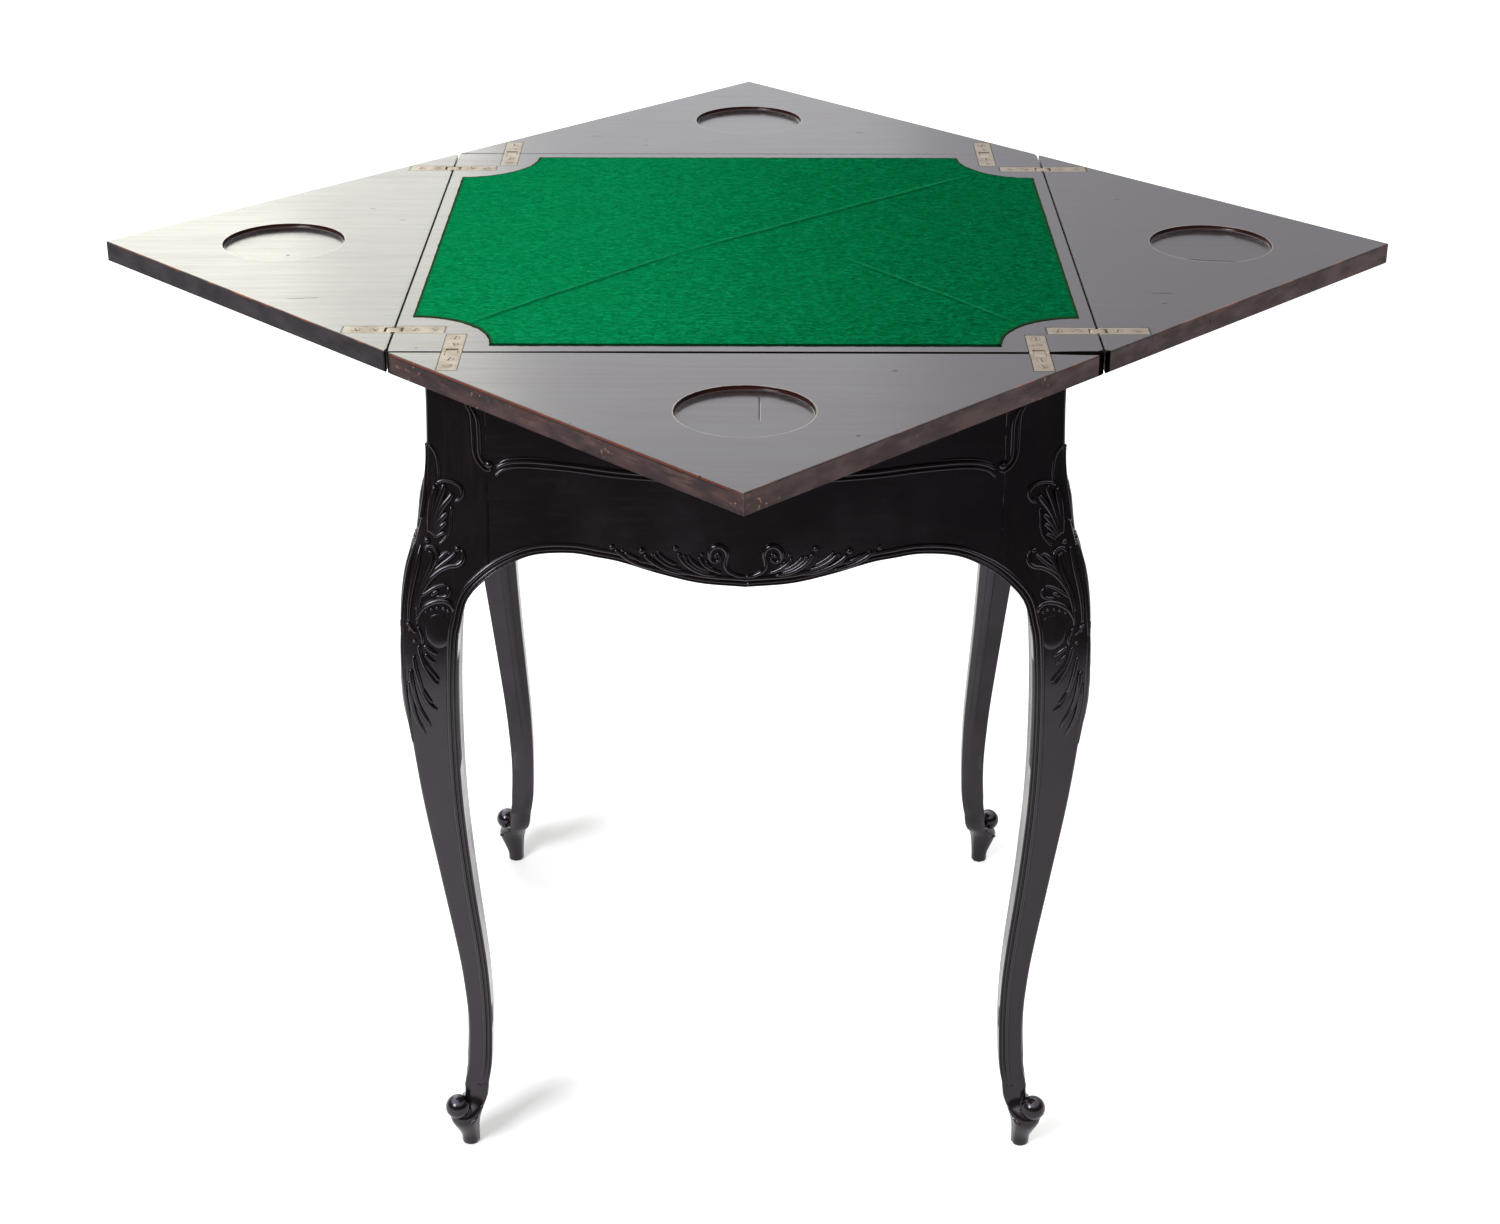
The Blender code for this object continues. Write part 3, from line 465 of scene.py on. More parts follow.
class Recipe(Nodes):
    """A material in the making."""

    def __init__(self, name, roughness, **values):
        self.material = bpy.data.materials.new(name)
        self.material.use_nodes = True
        super().__init__(self.material.node_tree)
        self.surface(Roughness=roughness, **values)
        self.place = self.add("TexCoord").outputs["Object"]
        self.x, self.y, self.z = self.parts(self.place)

    def surface(self, **values):
        """Links or sets the shader's inputs."""
        self.fill(self.tree.nodes["Principled BSDF"], **values)

    def cloud(self, scale, detail=4.0, rough=0.55, stretch=(1, 1, 1), distortion=0.0):
        """Noise from 0 to 1."""
        mapping = self.add("Mapping")
        self.fill(mapping, Vector=self.place, Scale=stretch)
        node = self.add("TexNoise")
        self.fill(node, Vector=mapping.outputs[0], Scale=scale, Detail=detail, Roughness=rough)
        self.fill(node, Distortion=distortion)
        return node.outputs["Fac"]

    def cells(self, scale):
        """Distance to the nearest of scattered points."""
        node = self.add("TexVoronoi")
        self.fill(node, Vector=self.place, Scale=scale)
        return node.outputs["Distance"]

    def folded(self):
        """The distance from the table's middle along the nearer axis, and the distance from that axis."""
        wide, deep = self.size(self.x), self.size(self.y)
        return self.most(wide, deep), self.least(wide, deep)

    def line(self, along, across, place, slope, start, end, width):
        """A thin line: 1 where it runs, fading at its ends. Across is place + slope × along on it."""
        away = self.off(across, self.scaled(along, slope, place))
        fade = (end - start) / 6
        ends = (self.between(along, start, start + fade), self.between(along, end, end - fade))
        return self.times(self.between(away, width, width / 3), *ends)

    def upright(self, share):
        """The normal, turned by a share to the piece's own upward direction."""
        node = self.add("NormalMap")
        node.space = "OBJECT"
        self.fill(node, Color=(0.5, 0.5, 1.0, 1), Strength=share)
        return node.outputs[0]

    def relief(self, *layers, ground=None):
        """Bumps laid one on another, as height, strength and depth in millimetres, over a ground's normal."""
        normal = ground
        for height, strength, depth in layers:
            node = self.add("Bump")
            self.fill(node, Height=height, Strength=strength, Distance=depth * MM)
            if normal:
                self.fill(node, Normal=normal)
            normal = node.outputs[0]
        self.surface(Normal=normal)


def shade(*levels):
    """A colour as it is read on a screen, from 0 to 255, as the linear colour that nodes need."""
    shares = [level / 255 for level in levels]
    return (*[s / 12.92 if s <= 0.04045 else ((s + 0.055) / 1.055) ** 2.4 for s in shares], 1.0)


def ebonised(name, grain):
    """Wood stained black and polished satin, brown where hands have rubbed it. Grain is the stretch."""
    r = Recipe(name, roughness=0.2, Specular_Tint=(0.93, 0.84, 0.98, 1))
    fine = r.cloud(260, detail=6, stretch=grain)
    stain = r.coats(
        shade(13, 9, 9),
        (r.between(r.cloud(9, detail=3), 0.35, 0.7), shade(21, 15, 15)),
        (r.between(fine, 0.52, 0.72, 0.0, 0.35), shade(38, 27, 26)),
        (r.between(r.cloud(34, detail=5), 0.62, 0.8, 0.0, 0.2), shade(54, 36, 30)),
    )
    r.surface(Base_Color=stain, Roughness=r.between(r.cloud(22), 0.3, 0.75, 0.13, 0.25))
    r.relief((fine, 0.1, 0.2), (r.cloud(70, detail=3), 0.1, 0.8))
    return r.material


WELL_MIDDLE = 0.390
WELL_RADIUS = 0.051
RING_PITCH = 0.0016
PLATE_LOW, PLATE_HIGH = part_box("hinge_front_1_leaf_plate")
PLATE_OFFSET = abs(PLATE_LOW.x + PLATE_HIGH.x) / 2
PLATE_HALF = (PLATE_HIGH.x - PLATE_LOW.x) / 2
PLATE_REACH = -PLATE_LOW.y - SEAM
SCREW_RADIUS = 0.0034
SCREWS_FROM_SEAM = (0.016, 0.030)
# Scratches on the tops: where across they start, slope, and their start and end along x
BOARD_MARKS = (
    (-0.1484, 0.10, -0.366, -0.336), (-0.1300, -0.05, 0.322, 0.341), (0.1251, 0.3, 0.323, 0.330),
    (0.0403, 0.0, 0.375, 0.382), (-0.1565, 0.4, 0.327, 0.333), (-0.309, 0.0, 0.108, 0.1128),
    (-0.438, 0.0, 0.0773, 0.0808), (0.330, 0.1, -0.150, -0.138), (0.345, -0.2, 0.102, 0.110),
    (0.060, 0.5, -0.300, -0.294), (0.095, -0.3, -0.330, -0.324),
)
MARK_WIDTH = 0.0011
# Cracks in the wells: place across, slope, start, end and width
RIGHT_CRACK = (0.0221, -0.14, WELL_MIDDLE - 0.038, WELL_MIDDLE + 0.036, 0.0018)
FRONT_CRACK = (0.0105, 0.0, -0.402, -0.346, 0.0008)
GRAIN = (0.05, 1, 1)

# How the marks on a board fade in, each as the distance where it begins and the one where it is full.
# These are depths below the tops
UNDERSIDE = (0.0155, 0.0165)
SIDE_TOP = (0.0003, 0.0006)
LIP_DARK = (0.0022, 0.0028)
LIP_STRIPE = ((0.0005, 0.0009), (0.0021, 0.0015))
LIP_FOOT = (0.0036, 0.0030)
ARRIS_TOP = (0.00001, 0.00004)
GAP_TOP = (0.00001, 0.00008)
GAP_SHADE_DEPTH = (0.0002, 0.0010)
RIM_HIGHLIGHT_FOOT = (0.0003, 0.0001)
WELL_SHADE_TOP = (0.0002, 0.0006)
# These are distances in from the slanting sides, along both axes together
SIDE_DEPTH = (0.0016, 0.0008)
ARRIS_DEPTH = (0.0022, 0.0014)
ARRIS_WORN = (0.0008, 0.0002)
ARRIS_RAG = (0.0020, -0.0004)
# These are places along x or y
LIP_END = (0.0, -0.02)
LIP_BACK = (-SEAM + MM, -SEAM)
FRONT_SEAM = (-SEAM + 0.010, -SEAM + 0.004)
# The seams: distances from the middle, and how the front one's painted shade widens along x, in its middle
# and at its end
GAP_EDGE = (0.0002, -0.0001)
GAP_HALF = 0.0009
GAP_WIDENING = ((-0.2, -0.05, 0.0006, 0.0014), (0.21, 0.262, 0.0, 0.0022))
PLANED = ((0.0030, 0.0027), (0.00078, 0.00092))
# The wells: distances from the rim, and radii
RIM_HIGHLIGHT_EDGE = (0.0011, 0.0005)
WELL_SHADE_EDGE = (0.0018, 0.0008)
COVE = (WELL_RADIUS - 0.0006, WELL_RADIUS - 0.0018)
WELL_FLOOR = (WELL_RADIUS - 0.002, WELL_RADIUS - 0.004)
RINGED_FLOOR = (WELL_RADIUS - 0.003, WELL_RADIUS - 0.005)
PLATE_OUTLINE = (0.0011, 0.0006)


class Board(Recipe):
    """The boards' material in the making, with the distances and the grain that its parts share."""

    def __init__(self, name):
        super().__init__(name, roughness=0.3, Specular_IOR_Level=1.0)
        self.figure = self.cloud(30, detail=7, rough=0.62, stretch=GRAIN, distortion=0.35)
        self.lines = self.cloud(170, detail=6, rough=0.65, stretch=GRAIN)
        self.below = self.minus(TABLE_TOP, self.z)
        self.inset = self.minus(LEAF_TIP, self.plus(self.size(self.x), self.size(self.y)))
        self.underneath = self.between(self.below, *UNDERSIDE)
        self.on_side = self.times(self.between(self.inset, *SIDE_DEPTH), self.between(self.below, *SIDE_TOP))
        self.lipped = self.times(self.between(self.x, *LIP_END), self.between(self.y, *LIP_BACK))
        self.in_front = self.between(self.y, *FRONT_SEAM)
        outward, self.aside = self.folded()
        self.from_seam = self.off(outward, SEAM_MIDDLE)
        # On the underside the wells count as far away, so that their marks stay on the tops
        from_well = self.length(self.minus(outward, WELL_MIDDLE), self.aside)
        self.radius = self.plus(from_well, self.underneath)
        self.from_rim = self.off(self.radius, WELL_RADIUS)

    def top_wood(self):
        """The tops: the figure of the grain and the fine lines in it."""
        return self.coats(
            shade(30, 24, 26),
            (self.between(self.figure, 0.3, 0.7), shade(56, 48, 49)),
            (self.between(self.lines, 0.45, 0.7, 0.0, 0.5), shade(66, 57, 56)),
        )

    def side_wood(self):
        """The slanting sides: browner, black on the left leaf, worn in specks, and lighter and greyer on the
        right by painted light.
        """
        blotch = self.between(self.cloud(34, detail=6, stretch=(1, 1, 2.6)), 0.36, 0.66)
        painted_darker_brown = self.coats(shade(40, 28, 31), (blotch, shade(66, 46, 44)))
        painted_lighter_grey_brown = self.coats(shade(76, 62, 62), (blotch, shade(106, 88, 86)))
        black = self.coats(shade(26, 22, 28), (blotch, shade(46, 38, 42)))
        streak = self.cloud(120, detail=5, stretch=(0.3, 0.3, 2.0))
        speck = self.between(self.cloud(230, detail=5), 0.6, 0.68)
        worn_through = self.between(self.cloud(16, detail=3), 0.58, 0.66)
        return self.coats(
            painted_darker_brown,
            # Painted light: the sides on the right half are lighter and greyer than those on the left
            (self.between(self.x, -MM, MM), painted_lighter_grey_brown),
            (self.between(streak, 0.5, 0.75, 0.0, 0.45), shade(98, 76, 66)),
            (self.times(speck, worn_through), shade(176, 132, 100)),
            (self.between(self.x, -SEAM, -SEAM - MM), black),
            (self.times(self.lipped, self.between(self.below, *LIP_FOOT)), self.lipping()),
        )

    def lipping(self):
        """The edge of the redder top layer, which shows on the front leaf's left side."""
        stripe = self.times(*[self.between(self.below, *fade) for fade in LIP_STRIPE])
        dark = self.between(self.below, *LIP_DARK)
        return self.coats(shade(62, 25, 16), (dark, shade(32, 15, 12)), (stripe, shade(98, 48, 29)))

    def arris_wear_and_highlight(self):
        """Where the arris between top and side is rubbed through, and its painted highlight."""
        worn = self.plus(self.below, self.times(self.inset, 0.45))
        worn = self.minus(worn, self.scaled(self.cloud(70, detail=5), *ARRIS_RAG))
        edge = self.times(self.between(worn, *ARRIS_WORN), self.between(self.inset, *ARRIS_DEPTH))
        return self.times(edge, self.scaled(self.lipped, -0.7, 1.0))

    def gap(self):
        """Where a seam is open, with brown worn edges, and painted shade that widens the front seam over the
        flat top.
        """
        widening = self.plus(*[self.between(self.x, *row) for row in GAP_WIDENING])
        past = self.minus(self.from_seam, self.scaled(self.in_front, widening, GAP_HALF))
        dropped = self.most(self.in_front, self.between(self.below, *GAP_TOP))
        return self.times(self.between(past, *GAP_EDGE), dropped)

    def rim_highlight(self):
        """The well's rim: a painted highlight along its edge, uneven in strength."""
        edge = self.times(self.between(self.from_rim, *RIM_HIGHLIGHT_EDGE), self.between(self.below, *RIM_HIGHLIGHT_FOOT))
        return self.times(edge, self.between(self.cloud(40), 0.3, 0.6, 0.35, 0.9))

    def dents(self):
        """Small dents here and there."""
        return self.times(
            self.between(self.cells(36), 0.06, 0.035), self.between(self.cloud(11, detail=2), 0.5, 0.58)
        )

    def crack(self):
        """The cracks across the wells of the right and the front leaf."""
        right = self.line(self.x, self.y, *RIGHT_CRACK)
        front = self.line(self.y, self.x, *FRONT_CRACK)
        return self.times(self.most(right, front), self.minus(1.0, self.underneath))

    def plate_outline(self):
        """A darker line on the board along the edges of the hinge plates."""
        past_end = self.plus(self.minus(self.from_seam, PLATE_REACH), self.underneath)
        past_side = self.minus(self.off(self.aside, PLATE_OFFSET), PLATE_HALF)
        return self.between(self.most(past_end, past_side), *PLATE_OUTLINE, 0.0, 0.8)

    def scratches(self):
        """The scratches on the tops, one socket for each."""
        return [
            self.line(self.x, self.y, place - slope * start, slope, start, end, MARK_WIDTH)
            for place, slope, start, end in BOARD_MARKS
        ]

    def shine(self, hidden):
        """How strongly the polish reflects: unevenly, and little on the sides, in the dark marks and in the
        painted shade.
        """
        figured = self.between(self.figure, 0.38, 0.62, 0.09, -0.09)
        shine = self.plus(figured, self.between(self.lines, 0.42, 0.6, 1.03, 0.9))
        # The undersides, which are outside when the leaves are folded, have lost most of their polish
        shine = self.times(shine, self.scaled(self.underneath, -0.7, 1.0))
        return self.times(shine, self.minus(1.0, self.most(self.times(self.on_side, 0.88), hidden)))

    def dullness(self):
        """The roughness: streaky, smoother on the wells' floors, dull on the sides and underneath."""
        dull = self.between(self.cloud(12, detail=5), 0.35, 0.72, 0.2, 0.23)
        dull = self.scaled(self.between(self.lines, 0.35, 0.7), 0.03, dull)
        dull = self.scaled(self.between(self.radius, *WELL_FLOOR), -0.03, dull)
        return self.scaled(self.most(self.on_side, self.underneath), 0.2, dull)

    def flattened(self):
        """Where the normal is turned upright: on the arrises of the seams and in the wells' coves."""
        planed = self.times(
            self.between(self.below, *ARRIS_TOP), *[self.between(self.from_seam, *fade) for fade in PLANED]
        )
        return self.most(planed, self.between(self.radius, *COVE, 0.0, 0.96))

    def rings(self):
        """Rings that the turning tool left on the wells' floors."""
        waves = self.step("SINE", self.times(self.radius, 2 * math.pi / RING_PITCH))
        return self.times(waves, self.between(self.radius, *RINGED_FLOOR))


def board(name):
    """A dark polished board: redder sides, worn arrises, turned, cracked wells, and painted light and shade
    on arrises, seams and wells.
    """
    r = Board(name)
    gap, dents, crack = r.gap(), r.dents(), r.crack()
    # Painted shade on the wells' walls, dark and reddish
    well_wall_shade = r.times(r.between(r.from_rim, *WELL_SHADE_EDGE), r.between(r.below, *WELL_SHADE_TOP))
    # The arrises' colour: worn wood, and a painted highlight
    rubbed_and_lit = r.coats(
        shade(44, 26, 22), (r.between(r.cloud(26, detail=5), 0.45, 0.68), shade(132, 74, 44))
    )
    # Painted shade in the seams: black all along the front one, darker further down in the others
    deep = r.most(r.in_front, r.between(r.below, *GAP_SHADE_DEPTH, 0.35, 1.0))
    # Dark marks: plate outlines, dents, cracks and scratches, with the painted shade of the seams and the
    # wells' walls
    marks_and_shade = r.most(
        r.plate_outline(), r.times(gap, deep), r.times(dents, 0.8), r.times(well_wall_shade, 0.9), r.times(crack, 0.92),
        *r.scratches(),
    )
    # Painted light and shade in the colour: highlights on the arrises and the wells' rims, shade in the seams
    # and on the wells' walls
    wood = r.coats(
        r.top_wood(), (r.on_side, r.side_wood()), (r.arris_wear_and_highlight(), rubbed_and_lit), (gap, shade(56, 34, 28)),
        (r.rim_highlight(), shade(150, 134, 120)), (marks_and_shade, shade(16, 11, 10)), (well_wall_shade, shade(42, 19, 16)),
    )
    hidden = r.times(r.most(marks_and_shade, gap), r.scaled(r.in_front, 0.08, 0.92))
    r.surface(Base_Color=wood, Roughness=r.dullness(), Specular_IOR_Level=r.shine(hidden))
    hollows = r.times(r.most(dents, crack), -1.0)
    r.relief(
        (hollows, 0.6, 0.4), (r.rings(), 0.3, 0.02), (r.lines, 0.06, 0.1), ground=r.upright(r.flattened())
    )
    return r.material


BAIZE_HALF = (0.2585, 0.2555)
BAIZE_CORNER = 0.0650
# Where the closed leaves have creased the sheet: start, end and depth as a share
CREASES = (
    ((-0.2130, -0.2047), (-0.0556, -0.0288), 1.0), ((-0.0556, -0.0288), (0.1990, 0.1960), 0.9),
    ((0.0852, -0.0493), (0.2044, -0.1975), 0.8),
)
CREASE_OVERRUN = 0.01
# The lit and the shaded side of a crease: distance from it, width, strength and colour
CREASE_SIDES = ((0.0016, 0.0042, 0.5, shade(46, 190, 124)), (-0.0030, 0.0052, 0.55, shade(0, 80, 40)))
CREASE_WAVE = (0.006, -0.003)
FRINGE = (0.0010, -0.0010)
FRINGE_RAG = 0.004
FRONT_EDGE_SHADE = (-BAIZE_HALF[1] + 0.005, -BAIZE_HALF[1] + 0.003)
FRONT_EDGE_SHADE_WIDENING = 0.0012
SHEET_SIDE_SHADE = (-0.0004, 0.0)
SHADED_FROM = -0.2


def creased(r, nap):
    """The nap with the creases' lit and shaded sides."""
    wavy = r.plus(r.y, r.scaled(r.cloud(26, detail=3), *CREASE_WAVE))
    for (ax, ay), (bx, by), share in CREASES:
        slope = (by - ay) / (bx - ax)
        run = (slope, ax - CREASE_OVERRUN, bx + CREASE_OVERRUN)
        for away, width, strength, colour in CREASE_SIDES:
            side = r.line(r.x, wavy, ay - slope * ax + away, *run, width)
            nap = r.coats(nap, (r.times(side, strength * share), colour))
    return nap


def fringe(r, tufts):
    """The frayed brown edge, with painted shade that makes it wider and darker along the front: its share and
    its colour.
    """
    from_x, from_y = r.minus(BAIZE_HALF[0], r.size(r.x)), r.minus(BAIZE_HALF[1], r.size(r.y))
    inset = r.least(from_x, from_y, r.minus(r.length(from_x, from_y), BAIZE_CORNER))
    # Painted shade along the sheet's front edge
    front_shade = r.between(r.y, *FRONT_EDGE_SHADE)
    frayed = r.minus(inset, r.plus(r.times(tufts, FRINGE_RAG), r.times(front_shade, FRONT_EDGE_SHADE_WIDENING)))
    return r.between(frayed, *FRINGE, 0.0, 0.9), r.coats(shade(52, 80, 46), (front_shade, shade(6, 32, 18)))


def wool(name):
    """Green baize: a matted nap of short tufts, with pressed creases and a frayed, browner edge, and painted
    light and shade.
    """
    r = Recipe(name, roughness=1.0, Specular_IOR_Level=0.0)
    tufts = r.cloud(300, detail=6, rough=0.72, stretch=(0.34, 1, 1), distortion=1.6)
    fine = r.cloud(760, detail=3, rough=0.6, stretch=(0.3, 1, 1), distortion=0.8)
    patches = r.cloud(14, detail=5, rough=0.6, stretch=(0.7, 1, 1))
    nap = r.coats(
        shade(0, 94, 46),
        (r.between(tufts, 0.38, 0.62), shade(0, 162, 94)),
        (r.between(fine, 0.46, 0.68, 0.0, 0.65), shade(40, 204, 138)),
        (r.between(tufts, 0.4, 0.3, 0.0, 0.35), shade(0, 70, 34)),
        (r.between(patches, 0.45, 0.72, 0.0, 0.3), shade(16, 146, 84)),
        # Painted light and shade: the nap is lighter towards the left and darker towards the right
        (r.between(r.x, -BAIZE_HALF[0], BAIZE_HALF[0], 0.28, 0.0), shade(10, 200, 118)),
        (r.between(r.x, SHADED_FROM, BAIZE_HALF[0], 0.0, 0.42), shade(0, 80, 44)),
    )
    lint = r.times(r.between(r.cells(130), 0.12, 0.03), r.between(r.cloud(60, detail=2), 0.6, 0.68))
    # Painted shade on the sheet's sides, below its top
    side_shade = r.between(r.minus(TABLE_TOP, r.z), *SHEET_SIDE_SHADE, 0.0, 0.9)
    nap = r.coats(
        creased(r, nap), fringe(r, tufts), (r.times(lint, 0.6), shade(150, 205, 160)),
        (side_shade, shade(8, 34, 18)),
    )
    r.surface(Base_Color=nap)
    r.relief((tufts, 1.0, 3.5), (fine, 0.7, 0.8))
    return r.material


SCREW_RING_RADIUS = SCREW_RADIUS + 0.0001
SCREW_RING_EDGE = (0.0005, 0.0001)


def screw_ring(r):
    """A darker ring round each screw's head."""
    near, far = SCREWS_FROM_SEAM
    outward, aside = r.folded()
    along = r.minus(r.off(r.off(outward, SEAM), (near + far) / 2), (far - near) / 2)
    radius = r.length(along, r.minus(aside, PLATE_OFFSET))
    return r.between(r.off(radius, SCREW_RING_RADIUS), *SCREW_RING_EDGE)


def brass(name):
    """Old brass gone pale and dull, brushed along x and darker in places."""
    r = Recipe(name, roughness=0.4, Metallic=0.4)
    brushed = r.cloud(500, detail=4, stretch=(0.2, 1, 1))
    stains = r.cloud(70, detail=5)
    spots = r.times(r.between(r.cells(260), 0.2, 0.1), r.between(r.cloud(90), 0.58, 0.66))
    metal = r.coats(
        shade(150, 138, 118),
        (r.between(stains, 0.35, 0.7), shade(130, 117, 97)),
        (r.between(brushed, 0.4, 0.75, 0.0, 0.5), shade(106, 92, 72)),
        (r.times(spots, 0.7), shade(48, 36, 27)),
        (r.times(screw_ring(r), r.between(stains, 0.3, 0.6, 0.5, 0.9)), shade(58, 42, 30)),
    )
    r.surface(Base_Color=metal, Roughness=r.between(stains, 0.3, 0.7, 0.34, 0.46))
    r.relief((brushed, 0.15, 0.06))
    return r.material


def plain_wood(name):
    """Pale unpolished wood for surfaces that don't show."""
    r = Recipe(name, roughness=0.7)
    rings = r.cloud(60, detail=6, stretch=(0.12, 1, 1))
    r.surface(Base_Color=r.coats(shade(150, 118, 84), (r.between(rings, 0.3, 0.7), shade(196, 163, 122))))
    r.relief((rings, 0.2, 0.5))
    return r.material


def steel(name):
    """Dull dark steel."""
    r = Recipe(name, roughness=0.45, Metallic=1.0)
    marks = r.cloud(240, detail=5)
    r.surface(Base_Color=r.coats(shade(92, 88, 86), (r.between(marks, 0.35, 0.7), shade(134, 128, 122))))
    r.relief((marks, 0.3, 0.3))
    return r.material


def slot_shadow(name):
    """Painted shade for the bottom of a screw's slot, which is cut only a hair deep."""
    r = Recipe(name, roughness=0.9)
    r.surface(Base_Color=r.coats(shade(20, 14, 10), (r.cloud(900, detail=2), shade(52, 38, 26))))
    return r.material


BLACK_UPRIGHT = ebonised("ebonised_upright", (1, 1, 0.06))
BLACK_ALONG_X = ebonised("ebonised_along_x", (0.06, 1, 1))
BLACK_ALONG_Y = ebonised("ebonised_along_y", (1, 0.06, 1))
BOARD = board("polished_board")
BAIZE = wool("green_baize")
BRASS = brass("worn_brass")
BARE_WOOD = plain_wood("bare_wood")
STEEL = steel("dark_steel")
# The slots' dark bottoms are painted shade
SLOT_PAINTED_SHADE = slot_shadow("slot_painted_shade")


def painted(node, material):
    """Gives a CAD node a new material in every slot."""
    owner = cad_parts[node]
    owner.data.materials.clear()
    owner.data.materials.append(material)


# Boards: smooth copies of the wooden pieces of the top

WELD = 0.00001
SMOOTH_BELOW = math.radians(38)


def refined(node, body):
    """A welded, smooth-shaded copy of a board that stands for it."""
    bm = bmesh.new()
    bm.from_mesh(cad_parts[node].data)
    bmesh.ops.remove_doubles(bm, verts=bm.verts, dist=WELD)
    for layer in list(bm.loops.layers.float_vector.values()):
        bm.loops.layers.float_vector.remove(layer)
    made = finished(node + "_board", bm, [BOARD], body, SMOOTH_BELOW)
    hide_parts(node)


# Carving

STRAND_HEIGHT_share = 1.1
LEAF_WIDTH_share = 1.4
FRIEZE_WIDTH_share = 1.15
LEAF_BEAD_share = 1.2
STRAND_STEP_MM = 1.5
BEAD_HEIGHT_share = 0.95
BLUNT_END_share = 0.15
SPRING = 0.6


def standing(place, up):
    """The matrix that puts a form on a place, with its z along up."""
    matrix = up.to_track_quat("Z", "Y").to_matrix().to_4x4()
    matrix.translation = place
    return matrix


class Carver:
    """Cuts strands and beads on the base: it knows the surface that they lie on."""

    def __init__(self, forms):
        ground = bmesh.new()
        for form in forms:
            absorb(ground, form)
        self.tree = BVHTree.FromBMesh(ground)

    def on_side(self, u, z):
        """The point and the normal of the front at a distance from its middle and a height."""
        place, normal, _, _ = self.tree.ray_cast(Vector((u, -SPRING, z)), Vector((0, 1, 0)))
        if place is None:
            place, normal, _, _ = self.tree.find_nearest(Vector((u, -face_at(u, z), z)))
        return place, self.outward(place, normal)

    def on_arris(self, u, z):
        """The point and the normal of the front right leg's arris at a height."""
        place, normal, _, _ = self.tree.ray_cast(Vector((SPRING, -SPRING, z)), Vector((-1, 1, 0)))
        return place, self.outward(place, normal)

    def outward(self, place, normal):
        away = Vector((place.x, place.y, 0))
        return normal if normal.dot(away) > 0 else -normal

    def strand(self, bm, rows, where, widening=1.0):
        """A tapering rounded strand along a curve given in millimetres."""
        longest = max(math.dist(a[:2], b[:2]) for a, b in zip(rows, rows[1:]))
        track = smooth_curve(rows, max(2, round(longest / STRAND_STEP_MM)))
        runs = [0.0]
        for a, b in zip(track, track[1:]):
            runs.append(runs[-1] + (a - b).xy.length)
        found = [where(p.x * MM, p.y * MM) for p in track]
        rings = []
        last = len(track) - 1
        for i, (place, normal) in enumerate(found):
            before, after = found[max(i - 1, 0)], found[min(i + 1, last)]
            along = (after[0] - before[0]).normalized()
            up = (before[1] + normal + after[1]).normalized()
            half = track[i].z * widening * MM
            for end, run in ((rows[0], runs[i]), (rows[-1], runs[-1] - runs[i])):
                if end[0] and run < end[2]:
                    half *= max(BLUNT_END_share, math.sqrt(1 - (1 - run / end[2]) ** 2))
            rings.append(rounded(place, along, up, half, half * STRAND_HEIGHT_share))
        absorb(bm, skin(rings))

    def bead(self, bm, u, z, radius, where, share=BEAD_HEIGHT_share):
        """A squashed ball standing on the surface, all in millimetres."""
        squash = Matrix.Diagonal((radius * MM, radius * MM, radius * MM * share, 1))
        matrix = standing(*where(u * MM, z * MM)) @ squash
        bmesh.ops.create_uvsphere(bm, u_segments=14, v_segments=8, radius=1, matrix=matrix)


# Strands up the arris of a leg
ARRIS_STRANDS = (
    ((1, 600, 2.2), (1, 618, 2.0), (1, 636, 1.7), (1, 650, 1.4), (1, 657, 1.5), (1, 661, 1.8)),
    ((1, 584, 1.2), (1, 566, 1.8), (1, 540, 1.9), (1, 518, 1.6), (1, 498, 0.7)),
    ((1, 520, 0.7), (1, 500, 1.6), (1, 462, 2.0), (1, 436, 1.7), (1, 411, 0.9)),
)
